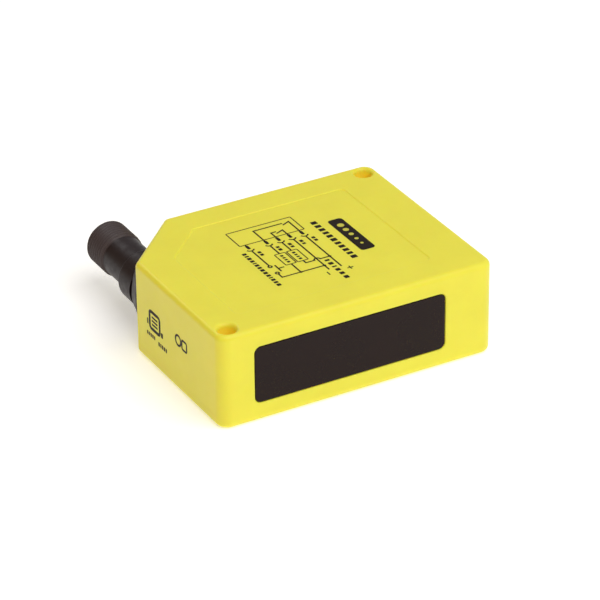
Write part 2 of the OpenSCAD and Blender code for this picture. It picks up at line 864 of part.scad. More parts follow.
module receiver_lens() {
    w = receiver_w / 2;
    h = receiver_h / 2;
    y = frame_lo.y + lens_seat;
    centre_y = y - 20.2;
    color(clear) {
        box([receiver_x - w - lens_rim, frame_lo.y, mid_z - h - 0.4],
            [receiver_x + w + lens_rim, y, mid_z + h + 0.4]);
        intersection() {
            translate([receiver_x, centre_y, mid_z]) sphere(receiver_lens_r, $fn = axis_fn);
            box([receiver_x - w + 0.2, y - eps, mid_z - h + 0.2],
                [receiver_x + w - 0.2, y + receiver_lens_r, mid_z + h - 0.2]);
        }
    }
}

module emitter_lens() {
    y = frame_lo.y + lens_seat;
    centre_y = y - 10.2;
    color(clear) {
        rod_y(frame_lo.y, lens_seat, emitter_seat_d - 0.2, emitter_x, mid_z, axis_fn);
        intersection() {
            translate([emitter_x, centre_y, mid_z]) sphere(emitter_lens_r, $fn = axis_fn);
            rod_y(y - eps, 4, emitter_d - 0.4, emitter_x, mid_z, axis_fn);
        }
    }
}

module emitter_led() {
    w = lead_w / 2;
    color([0.35, 0.3, 0.45]) {
        rod_y(led_dome_y, led_y + led_rim_t - led_dome_y, led_d, emitter_x, mid_z, axis_fn);
        translate([emitter_x, led_dome_y, mid_z]) sphere(d = led_d, $fn = small_fn);
        rod_y(led_y + led_rim_t, led_rim_t, led_rim_d, emitter_x, mid_z, axis_fn);
    }
    color(steel) for (s = [-1, 1]) {
        x = emitter_x + s * lead_spacing / 2;
        box([x - w, led_y + 2 * led_rim_t - 0.1, mid_z - w], [x + w, lead_y + w, mid_z + w]);
        box([x - w, lead_y - w, main_pcb_top], [x + w, lead_y + w, mid_z + w]);
    }
}

// Section of the connector barrel, from the collar to the tip, with ring-shaped thread grooves
function barrel_section() =
    let (
        crest = thread_d / 2,
        root = neck_d / 2 - 0.02,
        thread_start = barrel_l - thread_turns * thread_pitch
    )
    concat(
        [[0, 0], [collar_d / 2, 0], [collar_d / 2, collar_l - 0.5], [collar_d / 2 - 0.5, collar_l],
            [neck_d / 2, collar_l], [neck_d / 2, thread_start - 0.3]],
        [for (k = [0 : thread_turns - 2], s = [[0, crest], [0.3, crest], [0.55, root], [0.75, root]])
            [s[1], thread_start + (k + s[0]) * thread_pitch]],
        [[crest, barrel_l - thread_pitch], [crest, barrel_l - 0.7], [crest - 0.6, barrel_l], [0, barrel_l]]
    );

// Section of the swivel base: a thin rim, then a shallow cone
function base_section() = [
    [0, base_gap], [swivel_base_d / 2 - 0.2, base_gap], [swivel_base_d / 2, base_gap + 0.2],
    [swivel_base_d / 2, base_rim], [swivel_base_d / 2 - 0.8, 1.2], [7, 2.2], [5.8, base_rise], [0, base_rise]
];

module swivel_elbow() {
    color(black) difference() {
        union() {
            difference() {
                at_barrel() rotate_extrude($fn = axis_fn) polygon(barrel_section());
                at_swivel() box([-30, -30, -30], [30, 30, base_gap]);
            }
            at_swivel() rotate_extrude($fn = axis_fn) polygon(base_section());
            at_swivel() translate([0, 0, -stem_in]) cylinder(h = stem_in + 0.5, d = stem_d, $fn = axis_fn);
        }
        at_swivel() translate([0, 0, -stem_in - over])
            cylinder(h = stem_in + over - elbow_sink + bore_overlap, d = stem_bore_d, $fn = axis_fn);
        at_barrel() translate([0, 0, -bore_overlap])
            cylinder(h = bore_overlap + insert_end, d = barrel_bore_d, $fn = axis_fn);
        at_barrel() translate([0, 0, insert_end - insert_t])
            cylinder(h = insert_t + socket_depth + over, d = socket_d, $fn = axis_fn);
        at_swivel() translate([0, 0, -o_ring_depth]) groove(stem_d, stem_d - 2 * o_ring_section, 1.6);
        at_swivel() translate([0, 0, -boss_in - 0.1 - clip_t / 2]) groove(stem_d, clip_groove_d, clip_t);
    }
}

// A ring that cuts a groove round a shaft, centred on z = 0
module groove(outer, inner, w) {
    difference() {
        translate([0, 0, -w / 2]) cylinder(h = w, d = outer + 2, $fn = axis_fn);
        translate([0, 0, -w]) cylinder(h = 2 * w, d = inner, $fn = axis_fn);
    }
}

module swivel_o_ring() {
    color(black) at_swivel() translate([0, 0, -o_ring_depth]) rotate_extrude($fn = axis_fn)
        translate([(stem_d - o_ring_section) / 2 + 0.01, 0]) circle(d = o_ring_section, $fn = small_fn);
}

module swivel_clip() {
    color(steel) at_swivel() translate([0, 0, -boss_in - 0.1 - clip_t]) difference() {
        cylinder(h = clip_t, d = clip_d, $fn = axis_fn);
        translate([0, 0, -over]) cylinder(h = clip_t + 2 * over, d = clip_groove_d, $fn = axis_fn);
        box([0, -2.5, -over], [clip_d, 2.5, clip_t + over]);
    }
}

module contact_insert() {
    color(black) difference() {
        at_barrel() {
            translate([0, 0, insert_end - insert_t]) cylinder(h = insert_t, d = socket_d, $fn = axis_fn);
            intersection() {
                translate([0, 0, insert_end - eps])
                    cylinder(h = socket_depth - 1, d = socket_d, $fn = axis_fn);
                box([-0.6, -socket_d, insert_end - 1], [0.6, -socket_d / 2 + 0.7, barrel_l]);
            }
        }
        at_barrel() pin_holes(-over);
    }
}

// Places of the five contacts: four on a circle and one in the middle
function pin_place(i) = i < 4 ? ring4(i) : [0, 0];
function ring4(i) = [pin_circle_d / 2 * cos(45 + 90 * i), pin_circle_d / 2 * sin(45 + 90 * i)];

module pin_holes(extra) {
    for (i = [0 : wire_count - 1]) translate(pin_place(i))
        translate([0, 0, insert_end - insert_t + extra])
            cylinder(h = insert_t - 2 * extra, d = pin_d, $fn = small_fn);
}

module contact_pins() {
    tip = 0.3;
    start = insert_end - insert_t;
    pin_end = barrel_l - 1.2;
    color(gold) at_barrel() for (i = [0 : wire_count - 1]) translate(pin_place(i)) {
        translate([0, 0, start]) cylinder(h = pin_end - tip - start, d = pin_d, $fn = small_fn);
        translate([0, 0, pin_end - tip]) cylinder(h = tip, d1 = pin_d, d2 = pin_d - 2 * tip, $fn = small_fn);
    }
}

// A point in the housing's frame from one measured along and round the barrel axis
function from_barrel(p) = [elbow_x + p.x, elbow_y + p.z, connector_z - p.y];

module connector_wires() {
    start = insert_end - insert_t;
    for (i = [0 : wire_count - 1]) {
        q = pin_place(i);
        p = ring_at(i, wire_ring);
        color(wire_colours[i]) wire([
            from_barrel([q.x * 0.9, q.y * 0.9, start]),
            from_barrel([q.x * 0.9, q.y * 0.9, start - 1]),
            from_barrel([q.x * 0.6, q.y * 0.6, start - 5]),
            from_swivel([p.x, p.y, -elbow_sink - 1.5]),
            from_swivel([p.x, p.y, -stem_in])
        ]);
    }
}

housing_body();
housing_cover();
front_window();
control_panel();
light_pipes();
button_seals();
adjuster_bush();
adjuster_screw();
adjuster_gear();
adjuster_o_ring();
delay_button();
mode_button();
delay_switch_plunger();
mode_switch_plunger();
tactile_switches();
status_leds();
panel_pcb();
board_header();
main_pcb();
board_screws();
microcontroller();
power_inductor();
filter_capacitors();
output_transistors();
surge_suppressors();
wire_header();
housing_wires();
optics_frame();
optics_screws();
gearbox_plate();
gearbox_screws();
guide_rods();
lead_screw();
screw_gear();
receiver_carriage();
carriage_nut();
receiver_detector();
receiver_lens();
emitter_lens();
emitter_led();
swivel_elbow();
swivel_o_ring();
swivel_clip();
contact_insert();
contact_pins();
connector_wires();
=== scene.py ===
"""Looks of a rectangular adjustable-field photoelectric sensor with a swivelling threaded connector.

Meshes are modelled in millimetres in the part's frame and scaled to metres when they become objects.
The sensor lies on its mounting face: window along -Y, control panel along +X, connector at -X, +Y.
"""

import json
import math

import bmesh
import bpy
from mathutils import Matrix, Vector


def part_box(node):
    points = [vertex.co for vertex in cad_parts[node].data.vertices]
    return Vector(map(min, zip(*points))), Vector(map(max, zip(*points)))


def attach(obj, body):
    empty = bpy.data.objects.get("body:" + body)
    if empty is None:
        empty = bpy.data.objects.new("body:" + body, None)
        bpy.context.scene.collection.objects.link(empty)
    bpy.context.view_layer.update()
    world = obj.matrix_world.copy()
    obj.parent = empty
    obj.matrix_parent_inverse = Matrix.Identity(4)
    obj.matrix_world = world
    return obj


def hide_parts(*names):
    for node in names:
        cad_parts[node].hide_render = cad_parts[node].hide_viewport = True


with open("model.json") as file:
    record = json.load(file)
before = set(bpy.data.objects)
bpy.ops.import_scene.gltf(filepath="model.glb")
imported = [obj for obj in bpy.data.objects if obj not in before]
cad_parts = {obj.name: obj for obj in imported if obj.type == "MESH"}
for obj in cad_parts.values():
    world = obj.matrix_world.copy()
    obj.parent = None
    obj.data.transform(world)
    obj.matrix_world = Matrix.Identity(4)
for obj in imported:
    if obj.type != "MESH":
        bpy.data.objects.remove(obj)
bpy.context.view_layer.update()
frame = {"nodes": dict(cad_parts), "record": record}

MM = 0.001
TAU = 2 * math.pi


def node_box(name):
    """Lowest and highest corners of a CAD node, in millimetres."""
    low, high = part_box(name)
    return low / MM, high / MM


# ---------------------------------------------------------------- sizes, most of them from the frame

BODY_LO, BODY_HI = node_box("housing_body")
WINDOW_LO, WINDOW_HI = node_box("front_window")
PANEL_LO, PANEL_HI = node_box("control_panel")
SCREW_LO, SCREW_HI = node_box("adjuster_screw")
DELAY_LO, DELAY_HI = node_box("delay_button")
MODE_LO, MODE_HI = node_box("mode_button")
PIPES_LO, PIPES_HI = node_box("light_pipes")
COVER_HI = node_box("housing_cover")[1]
ELBOW_HI = node_box("swivel_elbow")[1]

MOUNTS = {m["name"]: m for m in frame["record"]["mounts"]}

HALF_L = BODY_HI.x
HALF_W = BODY_HI.y
HEIGHT = BODY_HI.z
MID_Z = HEIGHT / 2

SKIN = 0.02             # the visual skin lies this far inside the CAD faces, so that ink stays in the box
INK = 0.012             # thickness of the printed ink
CHAMFER_LEG = 16.7
UPRIGHT_R = 3.1
CHAMFER_R = 2.0
FLAT_EDGE_R = 1.4
WALL = 2.6
LABEL_WALL = 2.4
COVER_T = COVER_HI.z
COVER_INSET = HALF_L - COVER_HI.x
COVER_GAP = 0.1
COVER_CORNER_R = 1.0
HOLLOW_CORNER_R = 0.6

HOLE_R = MOUNTS["mounting_holes"]["dims"]["hole_r_mm"]
HOLE_INSET = 4.0
HOLE_X = HALF_L - HOLE_INSET
HOLE_Y = HALF_W - HOLE_INSET
HOLES = [(side * HOLE_X, side * HOLE_Y) for side in (-1, 1)]
PILLAR_R = 4.0
RIM_R = 1.0             # rounding of a mounting hole's upper mouth
LOWER_RIM_R = 0.15

WINDOW_W = 52.0
WINDOW_H = 15.0
WINDOW_X = (WINDOW_LO.x + WINDOW_HI.x) / 2
WINDOW_R = 1.6
WINDOW_GAP = 0.15
WINDOW_MOUTH_R = 0.22   # rounding of the housing's edge round the window
WINDOW_RECESS = WINDOW_LO.y - BODY_LO.y

CHAMFER_X = -HALF_L + CHAMFER_LEG / 2
CHAMFER_Y = HALF_W - CHAMFER_LEG / 2
SWIVEL_AXIS = Vector((-1, 1, 0)).normalized()
SWIVEL_BOSS_R = 7.5

THREAD = MOUNTS["connector_thread"]
THREAD_R = THREAD["dims"]["r_mm"]
THREAD_PITCH = 1.0
THREAD_TURNS = THREAD["dims"]["length_mm"] / THREAD_PITCH
NECK_R = 5.45
COLLAR_R = 6.85
COLLAR_L = 6.3
BASE_R = 9.4
BASE_GAP = 0.15
STEM_R = 5.0
STEM_IN = 7.2
STEM_BORE_R = 2.8
CLIP_GROOVE = (4.3, -5.9, -5.1)     # floor radius, and both ends along the swivel's axis
SEAL_GROOVE = (3.8, -3.6, -2.0)
SOCKET_R = 4.25
SOCKET_DEPTH = 8.2
BARREL_BORE_R = 3.0
BORE_OVERLAP = 1.2
INSERT_T = 5.5
SEAT_BELOW_SOCKET = 5.4     # depth of the insert's seat under the socket's floor
BORE_BELOW_SOCKET = 5.0     # where the wire bore ends, inside that seat
PIN_R = 0.5
PIN_CIRCLE_R = 2.5
PIN_BELOW_MOUTH = 1.2
PINS = [
    (PIN_CIRCLE_R * math.cos(math.radians(45 + 90 * i)), PIN_CIRCLE_R * math.sin(math.radians(45 + 90 * i)))
    for i in range(4)
] + [(0, 0)]
CONNECTOR_Z = THREAD["pos_m"][2] / MM
ELBOW_X = THREAD["pos_m"][0] / MM
ELBOW_Y = CHAMFER_Y - (ELBOW_X - CHAMFER_X)
ELBOW_SINK = (ELBOW_X - CHAMFER_X) * math.sqrt(2)   # how far behind the chamfer's face the two axes meet
BARREL_L = ELBOW_HI.y - ELBOW_Y
THREAD_START_Y = ELBOW_HI.y - THREAD_TURNS * THREAD_PITCH

PANEL_Y = (PANEL_LO.y + PANEL_HI.y) / 2
PANEL_L = 45.0
PANEL_H = 16.0
PANEL_R = 3.0
PANEL_FACE = PANEL_HI.x
PANEL_BACK = BODY_HI.x - WALL
ADJUSTER_Y = (SCREW_LO.y + SCREW_HI.y) / 2
BUTTON_YS = ((DELAY_LO.y + DELAY_HI.y) / 2, (MODE_LO.y + MODE_HI.y) / 2)
PIPE_R = (PIPES_HI.z - PIPES_LO.z) / 2
PIPE_COUNT = 4
PIPE_YS = [
    PIPES_LO.y + PIPE_R + i * (PIPES_HI.y - PIPES_LO.y - 2 * PIPE_R) / (PIPE_COUNT - 1)
    for i in range(PIPE_COUNT)
]
PANEL_MOUTH_R = 0.35    # rounding of the housing's edge round the panel
ADJUSTER_BOSS_R = 4.7
ADJUSTER_BOSS_L = 2.6
BUTTON_WELL_R = 3.62
BUTTON_STEM_HOLE_R = 1.62
BUSH_R = 3.5
BUSH_HEAD_R = 4.2
BUSH_HEAD_T = 0.6
BUSH_BACK_X = 31.0
SCREW_HEAD_BACK_X = 34.5
SCREW_SHAFT_R = 2.0
SCREW_STUB_R = 1.5
SCREW_STUB_X = 29.5
SCREW_GROOVE_X = 32.7


# ---------------------------------------------------------------- mesh tools

def rounded_outline(corners, radii, per_quarter=8):
    """Points of a closed counter-clockwise outline whose corners are rounded with arcs."""
    points = []
    count = len(corners)
    for i, corner in enumerate(corners):
        here = Vector(corner)
        to_last = (Vector(corners[i - 1]) - here).normalized()
        to_next = (Vector(corners[(i + 1) % count]) - here).normalized()
        radius = radii[i]
        half = to_last.angle(to_next) / 2
        centre = here + (to_last + to_next).normalized() * radius / math.sin(half)
        start = here + to_last * radius / math.tan(half) - centre
        sweep = math.pi - 2 * half
        steps = max(2, round(per_quarter * sweep / (math.pi / 2)))
        for k in range(steps + 1):
            turn = Matrix.Rotation(sweep * k / steps, 2)
            points.append(centre + turn @ start)
    return points


def plan(inset, radius_in=None):
    """Outline of the housing drawn in by a distance."""
    x, y = HALF_L - SKIN - inset, HALF_W - SKIN - inset
    leg = CHAMFER_LEG - (inset + SKIN) * (2 - math.sqrt(2))
    corners = [(-x, -y), (x, -y), (x, y), (-x + leg, y), (-x, y - leg)]
    radii = [max(0.3, r - inset) for r in (UPRIGHT_R, UPRIGHT_R, UPRIGHT_R, CHAMFER_R, CHAMFER_R)]
    if radius_in is not None:
        radii = [radius_in] * len(corners)
    return rounded_outline(corners, radii)


def plate_outline(w, h, r):
    """Outline of a rounded rectangle about the origin."""
    x, y = w / 2, h / 2
    return rounded_outline([(-x, -y), (x, -y), (x, y), (-x, y)], [r] * 4)


def plate(w, h, r):
    """A function that gives a rounded rectangle's outline, drawn in by a distance."""
    return lambda inset: plate_outline(w - 2 * inset, h - 2 * inset, r - inset)


def outward(bm):
    """Turns a closed mesh so that its faces look outwards."""
    if bm.calc_volume(signed=True) < 0:
        bmesh.ops.reverse_faces(bm, faces=bm.faces)
    return bm


def loft(loops):
    """A closed skin through rings of points that all have the same length."""
    bm = bmesh.new()
    rings = [[bm.verts.new(p) for p in loop] for loop in loops]
    for low, high in zip(rings, rings[1:]):
        for i in range(len(low)):
            j = (i + 1) % len(low)
            bm.faces.new((low[i], low[j], high[j], high[i]))
    bm.faces.new(list(reversed(rings[0])))
    bm.faces.new(rings[-1])
    return outward(bm)


def stack(outline, levels):
    """Loft of outline(inset) through (inset, z) pairs, from the bottom up."""
    return loft([[(p.x, p.y, z) for p in outline(inset)] for inset, z in levels])


def prism(outline, low, high):
    """Upright solid with one outline."""
    return loft([[(p.x, p.y, z) for p in outline] for z in (low, high)])


def revolve(profile, segments=64):
    """Closed solid of revolution about Z through (radius, z) pairs, from the axis round to the axis."""
    bm = bmesh.new()
    rings = []
    for r, z in profile:
        if r < 1e-6:
            rings.append([bm.verts.new((0, 0, z))])
            continue
        rings.append([
            bm.verts.new((r * math.cos(TAU * k / segments), r * math.sin(TAU * k / segments), z))
            for k in range(segments)
        ])
    for low, high in zip(rings, rings[1:]):
        for k in range(segments):
            j = (k + 1) % segments
            if len(low) == 1:
                bm.faces.new((low[0], high[j], high[k]))
            elif len(high) == 1:
                bm.faces.new((low[k], low[j], high[0]))
            else:
                bm.faces.new((low[k], low[j], high[j], high[k]))
    if len(rings[0]) > 1 and len(rings[-1]) > 1:
        for k in range(segments):
            j = (k + 1) % segments
            bm.faces.new((rings[-1][k], rings[-1][j], rings[0][j], rings[0][k]))
    return outward(bm)


def cylinder(r, low, high, segments=64):
    """Solid cylinder about Z."""
    return revolve([(0, low), (r, low), (r, high), (0, high)], segments)


def arc(cx, cy, r, start, end, steps=6):
    """Points of an arc in degrees, as (x, y) pairs."""
    return [
        (cx + r * math.cos(math.radians(start + (end - start) * k / steps)),
         cy + r * math.sin(math.radians(start + (end - start) * k / steps)))
        for k in range(steps + 1)
    ]


def block(lo, hi):
    """Box between two corners."""
    bm = bmesh.new()
    bmesh.ops.create_cube(bm, size=1)
    size = Vector(hi) - Vector(lo)
    middle = (Vector(hi) + Vector(lo)) / 2
    bm.transform(Matrix.Translation(middle) @ Matrix.Diagonal((*size, 1)))
    return bm


def along(axis, origin):
    """Matrix that puts local Z on an axis through a point."""
    turn = Vector(axis).to_track_quat("Z", "Y").to_matrix().to_4x4()
    return Matrix.Translation(Vector(origin)) @ turn


def shift(x, y=0.0, z=0.0):
    """Matrix that moves a mesh without turning it."""
    return Matrix.Translation((x, y, z))


def moved(bm, matrix):
    """The same mesh, put in another place."""
    bm.transform(matrix)
    return bm


AT_SWIVEL = along(SWIVEL_AXIS, (CHAMFER_X, CHAMFER_Y, CONNECTOR_Z))
AT_BARREL = along((0, 1, 0), (ELBOW_X, ELBOW_Y, CONNECTOR_Z))


def joined(parts):
    """One mesh that holds several closed solids."""
    whole = bmesh.new()
    for part in parts:
        mesh = bpy.data.meshes.new("part")
        part.to_mesh(mesh)
        part.free()
        whole.from_mesh(mesh)
        bpy.data.meshes.remove(mesh)
    return whole


def new_object(name, bm):
    """Object in the scene made from a bmesh, which is used up."""
    mesh = bpy.data.meshes.new(name)
    bm.to_mesh(mesh)
    bm.free()
    obj = bpy.data.objects.new(name, mesh)
    bpy.context.scene.collection.objects.link(obj)
    return obj


def apply_modifiers(obj):
    """Turns an object's modifiers into mesh."""
    graph = bpy.context.evaluated_depsgraph_get()
    mesh = bpy.data.meshes.new_from_object(obj.evaluated_get(graph), depsgraph=graph)
    old = obj.data
    obj.modifiers.clear()
    obj.data = mesh
    bpy.data.meshes.remove(old)


def boolean(obj, bm, operation="DIFFERENCE"):
    """Combines an object with a closed bmesh, which is used up."""
    tool = new_object("tool", bm)
    modifier = obj.modifiers.new("combine", "BOOLEAN")
    modifier.operation = operation
    modifier.solver = "MANIFOLD"
    modifier.object = tool
    apply_modifiers(obj)
    mesh = tool.data
    bpy.data.objects.remove(tool)
    bpy.data.meshes.remove(mesh)


def smooth(obj, angle=35.0, weighted=True):
    """Smooth shading with sharp edges kept, and flat faces kept flat."""
    obj.data.polygons.foreach_set("use_smooth", [True] * len(obj.data.polygons))
    obj.data.set_sharp_from_angle(angle=math.radians(angle))
    if weighted:
        modifier = obj.modifiers.new("normals", "WEIGHTED_NORMAL")
        modifier.keep_sharp = True
        modifier.weight = 100
        apply_modifiers(obj)


def finish_piece(obj, body, material, replaced=(), angle=35.0, weighted=True):
    """Scales a piece to metres, shades it, and gives it its body, material and replaced nodes."""
    obj.data.transform(Matrix.Scale(MM, 4))
    smooth(obj, angle, weighted)
    obj.data.materials.clear()
    obj.data.materials.append(material)
    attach(obj, body)
    if replaced:
        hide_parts(*replaced)
    return obj


# ---------------------------------------------------------------- materials

def linear(r, g, b):
    """Linear colour from sRGB numbers of 0 to 255."""
    def one(c):
        c /= 255
        return c / 12.92 if c <= 0.04045 else ((c + 0.055) / 1.055) ** 2.4
    return (one(r), one(g), one(b), 1.0)


class Material:
    """A node material built round one Principled shader, in object coordinates."""

    def __init__(self, name, **sockets):
        self.material = bpy.data.materials.new(name)
        self.material.use_nodes = True
        self.tree = self.material.node_tree
        self.shader = self.tree.nodes["Principled BSDF"]
        for socket, value in sockets.items():
            self.shader.inputs[socket.replace("_", " ")].default_value = value
        self.position = self.node("ShaderNodeTexCoord").outputs["Object"]

    def node(self, kind, **settings):
        made = self.tree.nodes.new(kind)
        for key, value in settings.items():
            if key in made.inputs:
                made.inputs[key].default_value = value
            else:
                setattr(made, key, value)
        return made

    def link(self, source, target):
        self.tree.links.new(source, target)

    def noise(self, scale, detail=3.0, roughness=0.5):
        """Noise at a number of grains per millimetre."""
        made = self.node("ShaderNodeTexNoise")
        made.inputs["Scale"].default_value = scale / MM
        made.inputs["Detail"].default_value = detail
        made.inputs["Roughness"].default_value = roughness
        self.link(self.position, made.inputs["Vector"])
        return made.outputs["Fac"]

    def ramp(self, source, stops, colours):
        """Colour ramp through stops from 0 to 1."""
        made = self.node("ShaderNodeValToRGB")
        elements = made.color_ramp.elements
        while len(elements) < len(stops):
            elements.new(0.5)
        for element, stop, colour in zip(elements, stops, colours):
            element.position = stop
            element.color = colour
        self.link(source, made.inputs["Fac"])
        return made.outputs["Color"]

    def map_range(self, source, before, after, **settings):
        """Maps one range of numbers to another."""
        made = self.node("ShaderNodeMapRange", **settings)
        for socket, value in zip(("From Min", "From Max", "To Min", "To Max"), (*before, *after)):
            made.inputs[socket].default_value = value
        self.link(source, made.inputs["Value"])
        return made.outputs["Result"]

    def spread(self, source, low, high):
        """Maps the middle of a noise to a range of numbers."""
        return self.map_range(source, (0.3, 0.7), (low, high))

    def step(self, source, zero, one):
        """Soft step of a coordinate from 0 at one place to 1 at another, both in millimetres."""
        before = (min(zero, one) * MM, max(zero, one) * MM)
        after = (float(zero > one), float(one > zero))
        return self.map_range(source, before, after, interpolation_type="SMOOTHSTEP")

    def bump(self, source, strength, distance_mm, below=None):
        """Bump from a height, laid over another bump where one is given."""
        made = self.node("ShaderNodeBump")
        made.inputs["Strength"].default_value = strength
        made.inputs["Distance"].default_value = distance_mm * MM
        self.link(source, made.inputs["Height"])
        if below is not None:
            self.link(below, made.inputs["Normal"])
        return made.outputs["Normal"]

    def colour(self, output):
        self.link(output, self.shader.inputs["Base Color"])

    def roughness(self, output):
        self.link(output, self.shader.inputs["Roughness"])

    def normal(self, output):
        self.link(output, self.shader.inputs["Normal"])


def moulded(name, colour, rough, variation=0.06, grain=6.0, grain_depth=0.004, **sockets):
    """Moulded plastic: slight colour drift, a fine spark-eroded grain and faint waves."""
    m = Material(name, **sockets)
    dark = tuple(c * (1 - variation) for c in colour[:3]) + (1.0,)
    light = tuple(min(1.0, c * (1 + variation)) for c in colour[:3]) + (1.0,)
    m.colour(m.ramp(m.noise(0.09, 4.0, 0.6), (0.3, 0.7), (dark, light)))
    fine = m.noise(grain, 2.0, 0.5)
    m.roughness(m.spread(m.noise(0.6, 3.0), rough - 0.05, rough + 0.05))
    wave = m.bump(m.noise(0.05, 1.0), 0.15, 0.05)
    m.normal(m.bump(fine, 0.5, grain_depth, wave))
    return m.material


def turned_metal(name, colour, rough):
    """Turned or drawn metal with fine marks."""
    m = Material(name, Metallic=1.0)
    mapping = m.node("ShaderNodeMapping")
    mapping.inputs["Scale"].default_value = (0.3, 4.0, 4.0)
    m.link(m.position, mapping.inputs["Vector"])
    marks = m.node("ShaderNodeTexNoise")
    marks.inputs["Scale"].default_value = 3 / MM
    marks.inputs["Detail"].default_value = 4.0
    m.link(mapping.outputs["Vector"], marks.inputs["Vector"])
    dark = tuple(c * 0.82 for c in colour[:3]) + (1.0,)
    m.colour(m.ramp(marks.outputs["Fac"], (0.3, 0.7), (dark, colour)))
    m.roughness(m.spread(marks.outputs["Fac"], rough - 0.06, rough + 0.1))
    m.normal(m.bump(marks.outputs["Fac"], 0.3, 0.004))
    return m.material


def housing_plastic():
    """Glossy yellow plastic with some subsurface scattering. The walls of the mounting holes carry a painted
    glow: a faint orange emission that stands in for light scattered through the plastic.
    """
    # The emission colour is the orange of the painted glow in the mounting holes.
    m = Material(
        "housing_yellow", IOR=1.36, Subsurface_Weight=0.35, Subsurface_Radius=(2.2 * MM, 1.3 * MM, 0.25 * MM),
        Subsurface_Scale=1.0, Emission_Color=(1.0, 0.34, 0.01, 1))
    dark, light = (0.84, 0.775, 0.066, 1), (0.88, 0.815, 0.07, 1)
    m.colour(m.ramp(m.noise(0.09, 4.0, 0.6), (0.3, 0.7), (dark, light)))
    m.roughness(m.spread(m.noise(0.6, 3.0), 0.31, 0.41))
    m.normal(m.bump(m.noise(5.0, 2.0), 0.5, 0.005, m.bump(m.noise(0.05, 1.0), 0.15, 0.05)))
    axes = m.node("ShaderNodeSeparateXYZ")
    m.link(m.position, axes.inputs["Vector"])
    flat = m.node("ShaderNodeCombineXYZ")
    m.link(axes.outputs["X"], flat.inputs["X"])
    m.link(axes.outputs["Y"], flat.inputs["Y"])
    nearest = m.node("ShaderNodeMath", operation="MINIMUM")
    for i, (x, y) in enumerate(HOLES):
        away = m.node("ShaderNodeVectorMath", operation="DISTANCE")
        m.link(flat.outputs["Vector"], away.inputs[0])
        away.inputs[1].default_value = (x * MM, y * MM, 0)
        m.link(away.outputs["Value"], nearest.inputs[i])
    # Painted glow: emission on the bore walls below the rim, standing in for light scattered through the
    # plastic.
    in_bore = m.step(nearest.outputs["Value"], HOLE_R + 0.5, HOLE_R + 0.02)
    below_rim = m.step(axes.outputs["Z"], HEIGHT - 0.4, HEIGHT - 1.6)
    painted_glow_mask = m.node("ShaderNodeMath", operation="MULTIPLY")
    m.link(in_bore, painted_glow_mask.inputs[0])
    m.link(below_rim, painted_glow_mask.inputs[1])
    strength = m.node("ShaderNodeMath", operation="MULTIPLY")
    m.link(painted_glow_mask.outputs["Value"], strength.inputs[0])
    strength.inputs[1].default_value = 0.11
    m.link(strength.outputs["Value"], m.shader.inputs["Emission Strength"])
    return m.material


def connector_plastic():
    """Black plastic that is paler along the thread: a painted highlight that stands in for light catching the
    thread flanks.
    """
    m = Material("connector_black", IOR=1.33)
    axes = m.node("ShaderNodeSeparateXYZ")
    m.link(m.position, axes.inputs["Vector"])
    # Painted highlight: the thread gets a paler colour than the collar and neck, for the light on its flanks.
    thread = m.step(axes.outputs["Y"], THREAD_START_Y - 0.3, THREAD_START_Y + 0.3)
    body, painted_flank_highlight = (0.015, 0.007, 0.008, 1), (0.066, 0.048, 0.049, 1)
    m.colour(m.ramp(thread, (0.0, 1.0), (body, painted_flank_highlight)))
    m.roughness(m.spread(m.noise(0.6, 3.0), 0.36, 0.5))
    m.normal(m.bump(m.noise(7.0, 2.0), 0.5, 0.006))
    return m.material


MATERIALS = {
    "housing_yellow": housing_plastic(),
    "window_black": moulded(
        "window_black", (0.012, 0.004, 0.003, 1), 0.07,
        variation=0.1, grain=0.5, grain_depth=0.001, IOR=1.27),
    "connector_black": connector_plastic(),
    "panel_grey": moulded("panel_grey", linear(66, 67, 70), 0.5, variation=0.08, grain=8.0, grain_depth=0.01),
    "button_plastic": moulded("button_plastic", linear(112, 116, 120), 0.42, variation=0.06, grain=8.0),
    "black_plastic": moulded("black_plastic", linear(36, 36, 38), 0.45, variation=0.1),
    "component_black": moulded("component_black", linear(30, 30, 32), 0.55, variation=0.12),
    "white_plastic": moulded("white_plastic", linear(228, 226, 216), 0.38, variation=0.03),
    "seal_rubber": moulded("seal_rubber", linear(26, 26, 27), 0.7, variation=0.15, grain=10.0),
    "wire_insulation": moulded("wire_insulation", linear(120, 84, 58), 0.5, variation=0.15),
    "board_green": moulded("board_green", linear(22, 92, 52), 0.3, variation=0.1, grain=1.5),
    "led_resin": moulded("led_resin", linear(214, 204, 160), 0.2, variation=0.05),
    "ink_black": moulded("ink_black", linear(30, 20, 12), 0.5, variation=0.12, grain=3.0, IOR=1.25),
    "ink_pale": moulded("ink_pale", linear(214, 214, 206), 0.5, variation=0.05, grain=3.0),
    "brass": turned_metal("brass", linear(214, 172, 92), 0.3),
    "steel": turned_metal("steel", linear(186, 188, 190), 0.32),
    "gold_contact": turned_metal("gold_contact", linear(232, 190, 104), 0.22),
    "capacitor_can": turned_metal("capacitor_can", linear(204, 206, 210), 0.25),
    "clear_plastic": moulded(
        "clear_plastic", linear(226, 232, 236), 0.08, variation=0.02, Transmission_Weight=0.85, IOR=1.58),
}


# ---------------------------------------------------------------- housing

def rounded_levels(edge, low, high, steps=8):
    """(inset, z) pairs of an upright wall whose rims are rounded."""
    bottom = [(edge + x, low + edge + y) for x, y in arc(0, 0, edge, 270, 180, steps)]
    top = [(edge + x, high - edge + y) for x, y in arc(0, 0, edge, 180, 90, steps)]
    return bottom + top


def through_cutter(r, low_rim, high_rim, low, high, reach=1.0):
    """Cutter for a through hole whose two mouths are rounded over."""
    bottom = [(r + low_rim, low - reach)] + arc(r + low_rim, low + low_rim, low_rim, 270, 180, 4)
    top = arc(r + high_rim, high - high_rim, high_rim, 180, 90, 8) + [(r + high_rim, high + reach)]
    return revolve([(0, low - reach)] + bottom + top + [(0, high + reach)])


